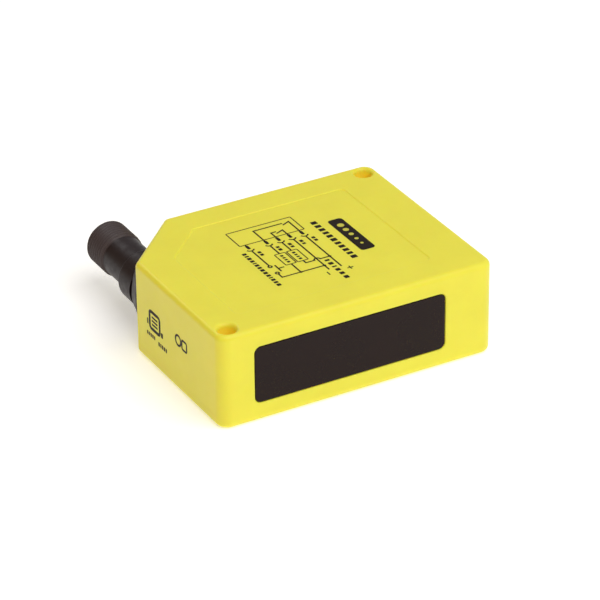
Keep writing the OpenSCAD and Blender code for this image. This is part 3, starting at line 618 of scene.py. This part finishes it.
def mouth_cutter(outline, edge, depth, reach=1.0, steps=6):
    """Cutter for an opening with a rounded mouth. Its local Z points out of the face, which is z = 0."""
    levels = [(0, -depth)] + arc(-edge, -edge, edge, 0, 90, steps) + [(-edge, reach)]
    return stack(outline, levels)


def make_housing():
    """The shell: hollow, with a pillar round each mounting hole and mouths for window, panel and swivel."""
    shell = new_object("housing_shell", stack(plan, rounded_levels(FLAT_EDGE_R, SKIN, HEIGHT - SKIN)))
    hollow = new_object("hollow", prism(plan(WALL, HOLLOW_CORNER_R), COVER_T - 0.5, HEIGHT - LABEL_WALL))
    for x, y in HOLES:
        boolean(hollow, moved(cylinder(PILLAR_R, -1, HEIGHT), shift(x, y)))
    boolean(hollow, moved(cylinder(SWIVEL_BOSS_R, -5, 4), AT_SWIVEL))
    step = new_object("step", prism(plan(COVER_INSET - SKIN - COVER_GAP, COVER_CORNER_R), -1, COVER_T))
    for x, y in HOLES:
        boolean(step, moved(cylinder(PILLAR_R, -2, HEIGHT), shift(x, y)))
    for tool in (hollow, step):
        bm = bmesh.new()
        bm.from_mesh(tool.data)
        boolean(shell, bm)
        bpy.data.objects.remove(tool)
    for x, y in HOLES:
        boolean(shell, moved(through_cutter(HOLE_R, LOWER_RIM_R, RIM_R, SKIN, HEIGHT - SKIN), shift(x, y)))
    boolean(shell, moved(label_cutter(), shift(0, 0, HEIGHT - SKIN)))
    window = plate(WINDOW_W + 2 * WINDOW_GAP, WINDOW_H + 2 * WINDOW_GAP, WINDOW_R + WINDOW_GAP)
    at_window = along((0, -1, 0), (WINDOW_X, -HALF_W + SKIN, MID_Z))
    boolean(shell, moved(mouth_cutter(window, WINDOW_MOUTH_R, WALL + 1), at_window))
    panel = plate(PANEL_L, PANEL_H, PANEL_R)
    at_panel = along((1, 0, 0), (HALF_L - SKIN, PANEL_Y, MID_Z))
    boolean(shell, moved(mouth_cutter(panel, PANEL_MOUTH_R, WALL + 1), at_panel))
    boolean(shell, moved(cylinder(STEM_R + 0.05, -8, 2), AT_SWIVEL))
    return finish_piece(shell, "housing", MATERIALS["housing_yellow"], ["housing_body"])


LABEL_LO = Vector((-28.4, -21.4))
LABEL_HI = Vector((25.0, 21.4))
LABEL_CUT = 11.0
LABEL_DEPTH = 0.25
LABEL_R = 1.6
LABEL_CUT_R = 0.8


def label_outline(inset):
    """Outline of the label recess, drawn in by a distance."""
    lo = LABEL_LO + Vector((inset, inset))
    hi = LABEL_HI - Vector((inset, inset))
    cut = LABEL_CUT - inset * (2 - math.sqrt(2))
    corners = [(lo.x, lo.y), (hi.x, lo.y), (hi.x, hi.y), (lo.x + cut, hi.y), (lo.x, hi.y - cut)]
    return rounded_outline(corners, [LABEL_R - inset] * 3 + [LABEL_CUT_R] * 2, 6)


def label_cutter():
    """Cutter for the shallow label recess, with softly rounded walls. Its local z = 0 is the face."""
    floor = -LABEL_DEPTH
    levels = [(0.3, floor), (0.2, floor + 0.012), (0.12, floor + 0.045), (0.05, floor + 0.12),
              (-0.02, floor + 0.2), (-0.1, floor + 0.238), (-0.2, 0.0), (-0.2, 1.0)]
    return stack(label_outline, levels)


EJECTOR_MARKS = ((-18, -12), (18, -12), (-18, 10), (18, 12))
EJECTOR_R = 2.5


def make_cover():
    """The cover in the mounting face, with a groove round it and shallow marks of the ejector pins."""
    edge = [(0.25, SKIN), (0.1, SKIN + 0.06), (0.0, SKIN + 0.22), (0.0, COVER_T)]
    levels = [(COVER_INSET - SKIN + x, z) for x, z in edge]
    cover = new_object("mounting_cover", stack(lambda inset: plan(inset, COVER_CORNER_R), levels))
    r = PILLAR_R + COVER_GAP
    notch = [(0, -1), (r + 0.25, -1), (r + 0.25, SKIN), (r, SKIN + 0.25), (r, HEIGHT), (0, HEIGHT)]
    for x, y in HOLES:
        boolean(cover, moved(revolve(notch), shift(x, y)))
    for x, y in EJECTOR_MARKS:
        boolean(cover, moved(cylinder(EJECTOR_R, -1, SKIN + 0.05, 48), shift(x, y)))
    return finish_piece(cover, "housing", MATERIALS["housing_yellow"], ["housing_cover"])


def make_window():
    """The window pane with a softened edge, on a wider flange behind the housing wall."""
    edge = 0.18
    back = -WALL + WINDOW_RECESS
    levels = [(0, back), (0, -edge), (edge * 0.3, -edge * 0.3), (edge, 0.0)]
    window = new_object("window_pane", stack(plate(WINDOW_W, WINDOW_H, WINDOW_R), levels))
    flange = plate_outline(WINDOW_HI.x - WINDOW_LO.x, WINDOW_HI.z - WINDOW_LO.z, WINDOW_R)
    boolean(window, moved(prism(flange, back - 1.0, back), shift(0, 0, 0.001)), "UNION")
    window.data.transform(along((0, -1, 0), (WINDOW_X, -HALF_W + WINDOW_RECESS, MID_Z)))
    return finish_piece(window, "housing", MATERIALS["window_black"], ["front_window"])


# ---------------------------------------------------------------- connector

def thread_radius(angle, z, start):
    """Radius of a helical 60 degree thread at an angle and height; it fades in at its start."""
    phase = ((z - start) / THREAD_PITCH - angle / TAU) % 1.0
    slope = abs(phase - 0.5) * 2
    crest = min(1.0, max(0.0, (slope - 0.12) / 0.7))
    fade = min(1.0, max(0.0, (z - start) / (0.6 * THREAD_PITCH)))
    root = NECK_R - 0.03
    return root + (THREAD_R - root) * crest * fade


def barrel_loops(segments=120, steps_per_turn=14):
    """Rings of the barrel: collar, neck, thread, and back down the inside of the socket."""
    thread_start = BARREL_L - THREAD_TURNS * THREAD_PITCH
    tip = BARREL_L - SKIN
    chamfer = 0.6
    angles = [TAU * k / segments for k in range(segments)]
    loops = []

    def ring(r, z):
        loops.append([(r * math.cos(a), r * math.sin(a), z) for a in angles])

    ring(COLLAR_R, 0.0)
    for x, y in arc(COLLAR_R - 0.5, COLLAR_L - 0.5, 0.5, 0, 90, 6):
        ring(x, y)
    for x, y in arc(NECK_R + 0.25, COLLAR_L + 0.25, 0.25, 270, 180, 4):
        ring(x, y)
    ring(NECK_R, thread_start - 0.5)
    steps = round(THREAD_TURNS * steps_per_turn)
    for i in range(steps + 1):
        z = thread_start + (tip - thread_start) * i / steps
        cone = THREAD_R - max(0.0, z - (tip - chamfer))
        radii = [min(thread_radius(a, z, thread_start), cone) for a in angles]
        loops.append([(r * math.cos(a), r * math.sin(a), z) for r, a in zip(radii, angles)])
    ring(SOCKET_R + 0.25, tip)
    ring(SOCKET_R, tip - 0.25)
    ring(SOCKET_R, tip - SOCKET_DEPTH - SEAT_BELOW_SOCKET)
    return loops


def make_elbow():
    """Threaded barrel, swivel base and stem in one piece, bored for the wires."""
    elbow = new_object("connector_elbow", loft(barrel_loops()))
    elbow.data.transform(AT_BARREL)
    boolean(elbow, moved(block((-30, -30, -30), (30, 30, BASE_GAP)), AT_SWIVEL))
    rim = 0.2
    base = [(0, BASE_GAP), (BASE_R - rim, BASE_GAP), (BASE_R, BASE_GAP + rim), (BASE_R, 0.6)]
    base += arc(BASE_R - 0.5, 0.6, 0.5, 15, 60, 4)
    base += [(7.4, 2.0), (6.4, 2.75), (5.6, 3.2), (0, 3.2)]
    boolean(elbow, moved(revolve(base, 96), AT_SWIVEL), "UNION")
    stem = [(0, -STEM_IN), (STEM_R - 0.3, -STEM_IN), (STEM_R, -STEM_IN + 0.3)]
    for r, low, high in (CLIP_GROOVE, SEAL_GROOVE):
        stem += [(STEM_R, low), (r, low), (r, high), (STEM_R, high)]
    stem += [(STEM_R, 0.4), (0, 0.4)]
    boolean(elbow, moved(revolve(stem, 96), AT_SWIVEL), "UNION")
    stem_bore = cylinder(STEM_BORE_R, -STEM_IN - 1, BORE_OVERLAP - ELBOW_SINK, 48)
    boolean(elbow, moved(stem_bore, AT_SWIVEL))
    barrel_bore = cylinder(BARREL_BORE_R, -BORE_OVERLAP, BARREL_L - SOCKET_DEPTH - BORE_BELOW_SOCKET, 48)
    boolean(elbow, moved(barrel_bore, AT_BARREL))
    return finish_piece(
        elbow, "connector", MATERIALS["connector_black"], ["swivel_elbow"], angle=30)


# ---------------------------------------------------------------- printed ink

class Ink:
    """Thin printed shapes on a face. Each shape is a closed prism a hair taller than the one before it."""

    def __init__(self, matrix):
        self.matrix = matrix
        self.parts = []

    def top(self):
        """Height of the next shape, so that no two lie in one plane."""
        return INK + 0.0001 * len(self.parts)

    def prism(self, outline):
        """A filled outline."""
        self.parts.append(loft([[(x, y, z) for x, y in outline] for z in (-0.01, self.top())]))

    def ring(self, outer, inner):
        """A closed band between two outlines with the same number of points."""
        top = self.top()
        bm = bmesh.new()
        rings = [[bm.verts.new((x, y, z)) for x, y in loop]
                 for loop, z in ((outer, -0.01), (outer, top), (inner, top), (inner, -0.01))]
        rings.append(rings[0])
        for low, high in zip(rings, rings[1:]):
            for i in range(len(low)):
                j = (i + 1) % len(low)
                bm.faces.new((low[i], low[j], high[j], high[i]))
        self.parts.append(outward(bm))

    def line(self, points, w=0.42):
        """A mitred stroke through points."""
        points = [Vector(p) for p in points]
        left, right = [], []
        for i, here in enumerate(points):
            legs = []
            if i > 0:
                legs.append((here - points[i - 1]).normalized())
            if i < len(points) - 1:
                legs.append((points[i + 1] - here).normalized())
            along_path = sum(legs, Vector((0, 0))).normalized()
            normal = Vector((-along_path.y, along_path.x))
            side = normal * (w / 2) / along_path.dot(legs[0])
            left.append(here + side)
            right.append(here - side)
        self.prism([tuple(p) for p in right + left[::-1]])

    def rectangle(self, x0, y0, x1, y1, r):
        """A filled rectangle with rounded corners."""
        corners = [(x0, y0), (x1, y0), (x1, y1), (x0, y1)]
        self.prism([tuple(p) for p in rounded_outline(corners, [r] * 4, 5)])

    def frame(self, x0, y0, x1, y1, w=0.42, r=0.15):
        """A rectangle drawn as a stroke."""
        def outline(d):
            corners = [(x0 - d, y0 - d), (x1 + d, y0 - d), (x1 + d, y1 + d), (x0 - d, y1 + d)]
            return [tuple(p) for p in rounded_outline(corners, [r + d] * 4, 3)]
        self.ring(outline(w / 2), outline(-w / 2 if r > w / 2 else -r / 2))

    def disc(self, x, y, r):
        """A filled circle."""
        self.prism(arc(x, y, r, 0, 345, 23))

    def circle(self, x, y, r, w=0.42):
        """A circle drawn as a stroke."""
        self.ring(arc(x, y, r + w / 2, 0, 345, 23), arc(x, y, r - w / 2, 0, 345, 23))

    def curve(self, x, y, r, start, end, w=0.42):
        """Part of a circle drawn as a stroke."""
        self.line(arc(x, y, r, start, end, 10), w)

    def dashes(self, x, y, length, height, widths, gap=0.3, upright=False):
        """A row of small blocks of differing widths, which stands in for a printed word."""
        total = sum(widths) + gap * (len(widths) - 1)
        scale = length / total
        at = 0.0
        for w in widths:
            a, b = at * scale, (at + w) * scale
            if upright:
                self.rectangle(x, y - b, x + height, y - a, min(0.12, (b - a) * 0.3))
            else:
                self.rectangle(x + a, y, x + b, y + height, min(0.12, (b - a) * 0.3))
            at += w + gap

    def finish(self, name, material):
        """Makes the shapes one piece of the housing."""
        obj = new_object(name, joined(self.parts))
        obj.data.transform(self.matrix)
        return finish_piece(obj, "housing", material, angle=30, weighted=False)


WORD = (0.8, 0.5, 0.9, 0.8, 0.4, 0.8, 0.7, 0.9)      # widths of a row's blocks
SHORT_WORD = (0.6, 0.5, 0.6, 0.6, 0.5)
TITLE = (0.9, 0.8, 0.8, 0.7, 0.8, 0.9, 0.7, 0.8, 0.8, 0.7, 0.9)


def make_label_print():
    """Wiring diagram on the label face. It reads with +X up, as the real one does."""
    floor = HEIGHT - SKIN - LABEL_DEPTH
    ink = Ink(shift(-HALF_L, -HALF_W, floor))
    contacts = (27.3, 32.4, 35.7, 38.9, 42.3)
    ink.frame(25.9, 37.9, 43.7, 45.0)
    ink.line([(32.4, 38.0), (32.4, 43.1), (40.5, 43.1)])
    ink.line([(40.2, 42.2), (42.3, 43.2), (42.3, 38.0)])
    ink.line([(35.7, 38.0), (35.7, 40.1), (37.1, 40.1)])
    ink.line([(36.8, 39.2), (38.9, 40.1), (38.9, 38.0)])
    for x in contacts:
        ink.line([(x, 37.9), (x, 37.2)])
        ink.rectangle(x - 0.42, 35.5, x + 0.42, 37.4, 0.3)
        ink.curve(x, 35.5, 1.0, 200, 340)
    for x, word in zip(contacts, ((0.7, 0.7), (0.6, 0.8), (0.9, 0.7), (0.7, 0.5), (0.7, 0.7))):
        ink.dashes(x + 0.8, 33.4, 2.3, 0.9, word, 0.3, upright=True)
    ink.line([(27.3, 34.5), (27.3, 25.75)])
    ink.circle(27.3, 25.3, 0.45)
    ink.circle(27.3, 21.7, 0.45)
    ink.line([(28.6, 25.4), (28.6, 22.0)])
    ink.line([(28.6, 23.6), (30.2, 23.6)])
    ink.line([(27.3, 21.25), (27.3, 19.3), (38.9, 19.3)])
    for x in (32.4, 35.7):
        ink.line([(x, 34.5), (x, 29.9)])
        ink.frame(x - 1.35, 24.1, x + 1.35, 29.8)
        ink.dashes(x - 0.45, 29.0, 4.1, 0.8, (0.5, 0.4, 0.4, 0.5), 0.3, upright=True)
    ink.line([(32.4, 24.0), (32.4, 19.3)])
    hop = arc(38.9, 22.7, 0.8, 180, 0, 8)
    ink.line([(35.7, 24.0), (35.7, 22.7)] + hop + [(42.3, 22.7)])
    ink.line([(38.9, 34.5), (38.9, 17.0)])
    ink.line([(42.3, 34.5), (42.3, 17.0)])
    for x, y in ((32.4, 19.3), (38.9, 19.3), (42.3, 22.7)):
        ink.disc(x, y, 0.42)
    ink.line([(37.8, 16.2), (37.8, 14.6)], 0.32)
    ink.line([(43.8, 16.2), (43.8, 14.6)], 0.32)
    ink.line([(43.0, 15.4), (44.6, 15.4)], 0.32)
    ink.dashes(40.1, 21.6, 10.4, 1.25, (0.4, 0.6, 0.3, 0.6, 0.6, 0.7), 0.45, upright=True)
    ink.dashes(24.3, 34.2, 18.2, 1.1, WORD + WORD[2:], 0.4, upright=True)
    ink.dashes(46.5, 40.0, 21.0, 1.6, TITLE, 0.45, upright=True)
    ink.rectangle(50.4, 21.2, 54.4, 38.4, 0.9)
    ink.finish("label_print", MATERIALS["ink_black"])
    make_badge(floor)


def make_badge(floor):
    """A plain row of pale dots on the badge."""
    ink = Ink(shift(-HALF_L, -HALF_W, floor + 0.02))
    for i in range(5):
        ink.disc(52.4, 35.0 - i * 2.6, 0.9 - 0.12 * i)
    ink.finish("badge_dots", MATERIALS["housing_yellow"])


def make_side_print():
    """Small marks on the left end face: plain shapes and rows of blocks."""
    ink = Ink(along((-1, 0, 0), (-HALF_L + SKIN, 0, 0)))
    ink.frame(-6.2, 10.6, -1.0, 15.3, 0.9, 0.8)
    for i in range(3):
        ink.rectangle(-5.1, 11.65 + i, -2.1, 12.2 + i, 0.2)
    ink.rectangle(-7.6, 11.1, -6.95, 12.7, 0.2)
    ink.rectangle(-0.4, 10.5, 0.6, 11.9, 0.2)
    ink.dashes(-7.8, 8.1, 4.2, 1.0, SHORT_WORD, 0.25)
    ink.dashes(-1.9, 7.5, 4.4, 1.1, SHORT_WORD, 0.25)
    ink.circle(8.6, 14.2, 1.35, 0.6)
    ink.frame(10.5, 12.8, 12.9, 15.3, 0.6, 0.5)
    ink.finish("side_print", MATERIALS["ink_black"])


# ---------------------------------------------------------------- control panel

def make_panel():
    """The panel plate, with a soft edge, wells round the buttons and a boss behind it for the adjuster."""
    edge = 0.3
    back = PANEL_BACK - PANEL_FACE
    levels = [(0, back - 0.05)] + [(edge + x, -edge + y) for x, y in arc(0, 0, edge, 180, 90, 6)]
    panel = new_object("panel_plate", stack(plate(PANEL_L - 0.2, PANEL_H - 0.2, PANEL_R), levels))
    flange = plate_outline(PANEL_L + 2, PANEL_H + 2, PANEL_R)
    boolean(panel, prism(flange, back - 1, back), "UNION")
    r = BUTTON_WELL_R
    well = [(0, -1.2), (r, -1.2)] + arc(r + 0.2, -0.2, 0.2, 180, 90, 5) + [(r + 0.2, 1), (0, 1)]
    for y in BUTTON_YS:
        boolean(panel, moved(revolve(well), shift(y - PANEL_Y)))
        boolean(panel, moved(cylinder(BUTTON_STEM_HOLE_R, -4, 0, 48), shift(y - PANEL_Y)))
    r = PIPE_R + 0.01
    mouth = [(0, -4), (r, -4)] + arc(r + 0.12, -0.12, 0.12, 180, 90, 4) + [(r + 0.12, 1), (0, 1)]
    for y in PIPE_YS:
        boolean(panel, moved(revolve(mouth, 48), shift(y - PANEL_Y)))
    r = BUSH_HEAD_R + 0.02
    seat = [(0, -6.5), (BUSH_R, -6.5), (BUSH_R, -BUSH_HEAD_T), (r, -BUSH_HEAD_T)]
    seat += [(r, -0.1), (r + 0.1, 0), (r + 0.1, 1), (0, 1)]
    at_adjuster = shift(ADJUSTER_Y - PANEL_Y)
    boolean(panel, moved(cylinder(ADJUSTER_BOSS_R, back - ADJUSTER_BOSS_L, back), at_adjuster), "UNION")
    boolean(panel, moved(revolve(seat), at_adjuster))
    panel.data.transform(along((1, 0, 0), (PANEL_FACE, PANEL_Y, MID_Z)))
    return finish_piece(panel, "housing", MATERIALS["panel_grey"], ["control_panel"])


def make_buttons():
    """Push buttons with a rounded rim and a dished top."""
    for y, name, body in zip(BUTTON_YS, ("delay_button", "mode_button"), ("delay_key", "mode_key")):
        low, high = node_box(name)
        r = (high.z - low.z) / 2
        top = high.x - PANEL_FACE
        rim = arc(r - 0.45, top - 0.45, 0.45, 0, 90, 8)
        dish = [(r * 0.72, top - 0.03), (r * 0.55, top - 0.11), (r * 0.3, top - 0.17), (0, top - 0.2)]
        stem = low.x - PANEL_FACE
        profile = [(0, stem), (1.3, stem), (1.5, stem + 0.2), (1.5, -0.5), (r - 0.15, -0.5), (r, -0.35)]
        cap = new_object(name + "_cap", revolve(profile + rim + dish, 72))
        cap.data.transform(along((1, 0, 0), (PANEL_FACE, y, MID_Z)))
        finish_piece(cap, body, MATERIALS["button_plastic"], [name])


def make_light_pipes():
    """Clear status pipes with slightly domed ends."""
    start = PIPES_LO.x - PANEL_FACE
    top = PIPES_HI.x - PANEL_FACE
    parts = []
    for y in PIPE_YS:
        dome = [(PIPE_R, top - 0.28), (PIPE_R * 0.93, top - 0.15), (PIPE_R * 0.75, top - 0.06),
                (PIPE_R * 0.4, top - 0.01), (0, top)]
        pipe = revolve([(0, start), (PIPE_R, start)] + dome, 48)
        parts.append(moved(pipe, along((1, 0, 0), (PANEL_FACE, y, MID_Z))))
    pipes = new_object("status_pipes", joined(parts))
    finish_piece(pipes, "housing", MATERIALS["clear_plastic"], ["light_pipes"])


def make_adjuster():
    """Slotted brass adjuster, flush in its brass bush."""
    at_face = along((1, 0, 0), (PANEL_FACE, ADJUSTER_Y, MID_Z))
    head_r = (SCREW_HI.z - SCREW_LO.z) / 2
    head_back = SCREW_HEAD_BACK_X - PANEL_FACE
    tail = SCREW_LO.x - PANEL_FACE
    stub = SCREW_STUB_X - PANEL_FACE
    groove = SCREW_GROOVE_X - PANEL_FACE
    profile = [
        (0, tail), (SCREW_STUB_R - 0.2, tail), (SCREW_STUB_R, tail + 0.2), (SCREW_STUB_R, stub),
        (SCREW_SHAFT_R, stub), (SCREW_SHAFT_R, groove - 0.5), (1.1, groove - 0.5), (1.1, groove + 0.5),
        (SCREW_SHAFT_R, groove + 0.5), (SCREW_SHAFT_R, head_back), (head_r, head_back),
        (head_r, -0.25), (head_r - 0.08, -0.09), (head_r - 0.25, 0), (0, 0)
    ]
    screw = new_object("adjuster_slot_head", revolve(profile, 72))
    half_slot = [(0.45, -1.2), (0.45, -0.12), (0.57, 0.0), (0.57, 1)]
    slot = half_slot + [(-x, z) for x, z in reversed(half_slot)]
    boolean(screw, loft([[(x, y, z) for x, z in slot] for y in (-4, 4)]))
    screw.data.transform(at_face)
    finish_piece(screw, "adjuster", MATERIALS["brass"], ["adjuster_screw"])
    low = BUSH_BACK_X - PANEL_FACE
    bush = [
        (SCREW_SHAFT_R + 0.05, low), (BUSH_R, low), (BUSH_R, -BUSH_HEAD_T), (BUSH_HEAD_R, -BUSH_HEAD_T),
        (BUSH_HEAD_R, -0.15), (4.05, 0), (3.25, 0),
        (3.05, -0.2), (3.05, head_back - 0.1), (SCREW_SHAFT_R + 0.05, head_back - 0.1)
    ]
    ring = new_object("adjuster_ring", revolve(bush, 72))
    ring.data.transform(at_face)
    finish_piece(ring, "housing", MATERIALS["brass"], ["adjuster_bush"])


def make_panel_print():
    """Dial ticks round the adjuster, and a plain symbol over each lamp and button."""
    ink = Ink(along((1, 0, 0), (PANEL_FACE, 0, MID_Z)))
    y = ADJUSTER_Y
    for k in range(11):
        angle = math.radians(225 - 27 * k)
        ends = (4.75, 5.5 if k % 5 else 5.9)
        ink.line([(y + r * math.cos(angle), r * math.sin(angle)) for r in ends], 0.25)
    ink.line([(y - 5.2, -5.7), (y - 4.0, -5.7)], 0.3)
    ink.line([(y + 4.0, -5.7), (y + 5.2, -5.7)], 0.3)
    ink.line([(y + 4.6, -6.3), (y + 4.6, -5.1)], 0.3)
    for i, x in enumerate(PIPE_YS):
        if i == 0:
            ink.disc(x, 2.9, 0.45)
        elif i == 1:
            ink.circle(x, 2.9, 0.5, 0.25)
        elif i == 2:
            ink.frame(x - 0.5, 2.45, x + 0.5, 3.35, 0.25, 0.15)
        else:
            ink.line([(x - 0.55, 2.6), (x, 3.3), (x + 0.55, 2.6)], 0.25)
    x = BUTTON_YS[0]
    ink.circle(x, 5.6, 0.9, 0.25)
    ink.line([(x, 6.15), (x, 5.6), (x + 0.45, 5.6)], 0.22)
    x = BUTTON_YS[1]
    ink.curve(x, 5.6, 0.85, 60, 330, 0.25)
    ink.prism([(x + 0.45, 6.75), (x + 0.4, 5.85), (x + 1.15, 6.3)])
    for x in BUTTON_YS:
        ink.circle(x, 0, 4.15, 0.2)
    ink.finish("panel_print", MATERIALS["ink_pale"])


# ---------------------------------------------------------------- contacts

def make_contacts():
    """Rounded contact pins in a keyed insert."""
    face = BARREL_L - SOCKET_DEPTH
    back = face - INSERT_T
    tip = BARREL_L - PIN_BELOW_MOUTH
    pin = [(0, back), (PIN_R, back), (PIN_R, tip - 0.45)] + arc(0.05, tip - 0.45, 0.45, 0, 90, 6) + [(0, tip)]
    pins = [moved(revolve(pin, 32), shift(x, y)) for x, y in PINS]
    contacts = new_object("connector_contacts", joined(pins))
    contacts.data.transform(AT_BARREL)
    finish_piece(contacts, "connector", MATERIALS["gold_contact"], ["contact_pins"])
    r = SOCKET_R - 0.005
    carrier = [(0, back), (r, back), (r, face - 0.15), (r - 0.15, face), (0, face)]
    insert = new_object("contact_carrier", revolve(carrier, 72))
    boolean(insert, block((-0.6, r - 0.75, face - 0.2), (0.6, r - 0.03, BARREL_L - 1.0)), "UNION")
    r = PIN_R + 0.005
    hole = [(0, back - 1), (r, back - 1), (r, face - 0.2), (0.7, face + 0.01), (0.7, face + 1), (0, face + 1)]
    for x, y in PINS:
        boolean(insert, moved(revolve(hole, 32), shift(x, y)))
    insert.data.transform(AT_BARREL)
    finish_piece(insert, "connector", MATERIALS["black_plastic"], ["contact_insert"])


# ---------------------------------------------------------------- stage, light and camera

def make_stage():
    """A wide pale floor that the sensor lies on."""
    floor = new_object("floor", block((-3000, -3000, -20), (3000, 3000, 0)))
    floor.data.transform(Matrix.Scale(MM, 4))
    m = Material("floor_white", Roughness=0.9, Emission_Color=(1, 1, 1, 1), Emission_Strength=0.4)
    m.colour(m.ramp(m.noise(0.004), (0.3, 0.7), ((0.86, 0.86, 0.86, 1), (0.88, 0.88, 0.88, 1))))
    floor.data.materials.append(m.material)


def add_light(name, location, target, size, power):
    """White area light that faces a target."""
    data = bpy.data.lights.new(name, "AREA")
    data.shape = "RECTANGLE"
    data.size, data.size_y = size
    data.energy = power
    light = bpy.data.objects.new(name, data)
    light.location = Vector(location)
    light.rotation_euler = (Vector(target) - Vector(location)).to_track_quat("-Z", "Y").to_euler()
    bpy.context.scene.collection.objects.link(light)


def make_lights():
    """A large soft key over the front, a small rim light behind, and a sky that is warmer on the left."""
    world = bpy.data.worlds.new("studio")
    bpy.context.scene.world = world
    world.use_nodes = True
    nodes, links = world.node_tree.nodes, world.node_tree.links
    axes = nodes.new("ShaderNodeSeparateXYZ")
    links.new(nodes.new("ShaderNodeTexCoord").outputs["Generated"], axes.inputs["Vector"])
    side = nodes.new("ShaderNodeMapRange")
    side.inputs["From Min"].default_value = -0.8
    side.inputs["From Max"].default_value = 0.1
    links.new(axes.outputs["X"], side.inputs["Value"])
    tint = nodes.new("ShaderNodeValToRGB")
    tint.color_ramp.elements[0].color = (0.6, 0.36, 0.06, 1)
    tint.color_ramp.elements[1].color = (1, 1, 1, 1)
    links.new(side.outputs["Result"], tint.inputs["Fac"])
    background = nodes["Background"]
    links.new(tint.outputs["Color"], background.inputs["Color"])
    background.inputs["Strength"].default_value = 0.42
    centre = (0, 0, 0.01)
    add_light("key", (0.05, -0.31, 0.6), centre, (0.6, 0.5), 3.0)
    add_light("rim", (-0.05, 0.6, 0.5), centre, (0.25, 0.25), 0.5)


def set_colour_response():
    """Colours come out as the materials state them, as in a catalogue picture."""
    bpy.context.scene.view_settings.view_transform = "Standard"


def make_camera():
    """The camera stands in front and to the left, looking down, with a long lens."""
    azimuth, elevation, roll = math.radians(29.07), math.radians(29.43), math.radians(-0.62)
    data = bpy.data.cameras.new("camera")
    data.sensor_width = 36.0
    data.lens = 213.28
    data.clip_start = 0.05
    data.clip_end = 10.0
    camera = bpy.data.objects.new("camera", data)
    camera.location = Vector((-366.9, -660.93, 436.84)) * MM
    forward = Vector((math.sin(azimuth) * math.cos(elevation), math.cos(azimuth) * math.cos(elevation),
                      -math.sin(elevation)))
    turn = forward.to_track_quat("-Z", "Y").to_matrix().to_4x4()
    camera.matrix_world = Matrix.Translation(camera.location) @ turn @ Matrix.Rotation(roll, 4, "Z")
    bpy.context.scene.collection.objects.link(camera)
    bpy.context.scene.camera = camera


# ---------------------------------------------------------------- CAD nodes that keep their own shape

def dress_cad_nodes():
    """Gives every CAD node that stays in view the material of its record slot."""
    slots = {s["node"]: s["material_slot"] for s in frame["record"]["subparts"]}
    for name, obj in frame["nodes"].items():
        obj.data.materials.clear()
        obj.data.materials.append(MATERIALS[slots[name]])


set_colour_response()
make_camera()
make_stage()
make_lights()
dress_cad_nodes()
make_housing()
make_cover()
make_window()
make_elbow()
make_contacts()
make_panel()
make_buttons()
make_light_pipes()
make_adjuster()
make_panel_print()
make_label_print()
make_side_print()
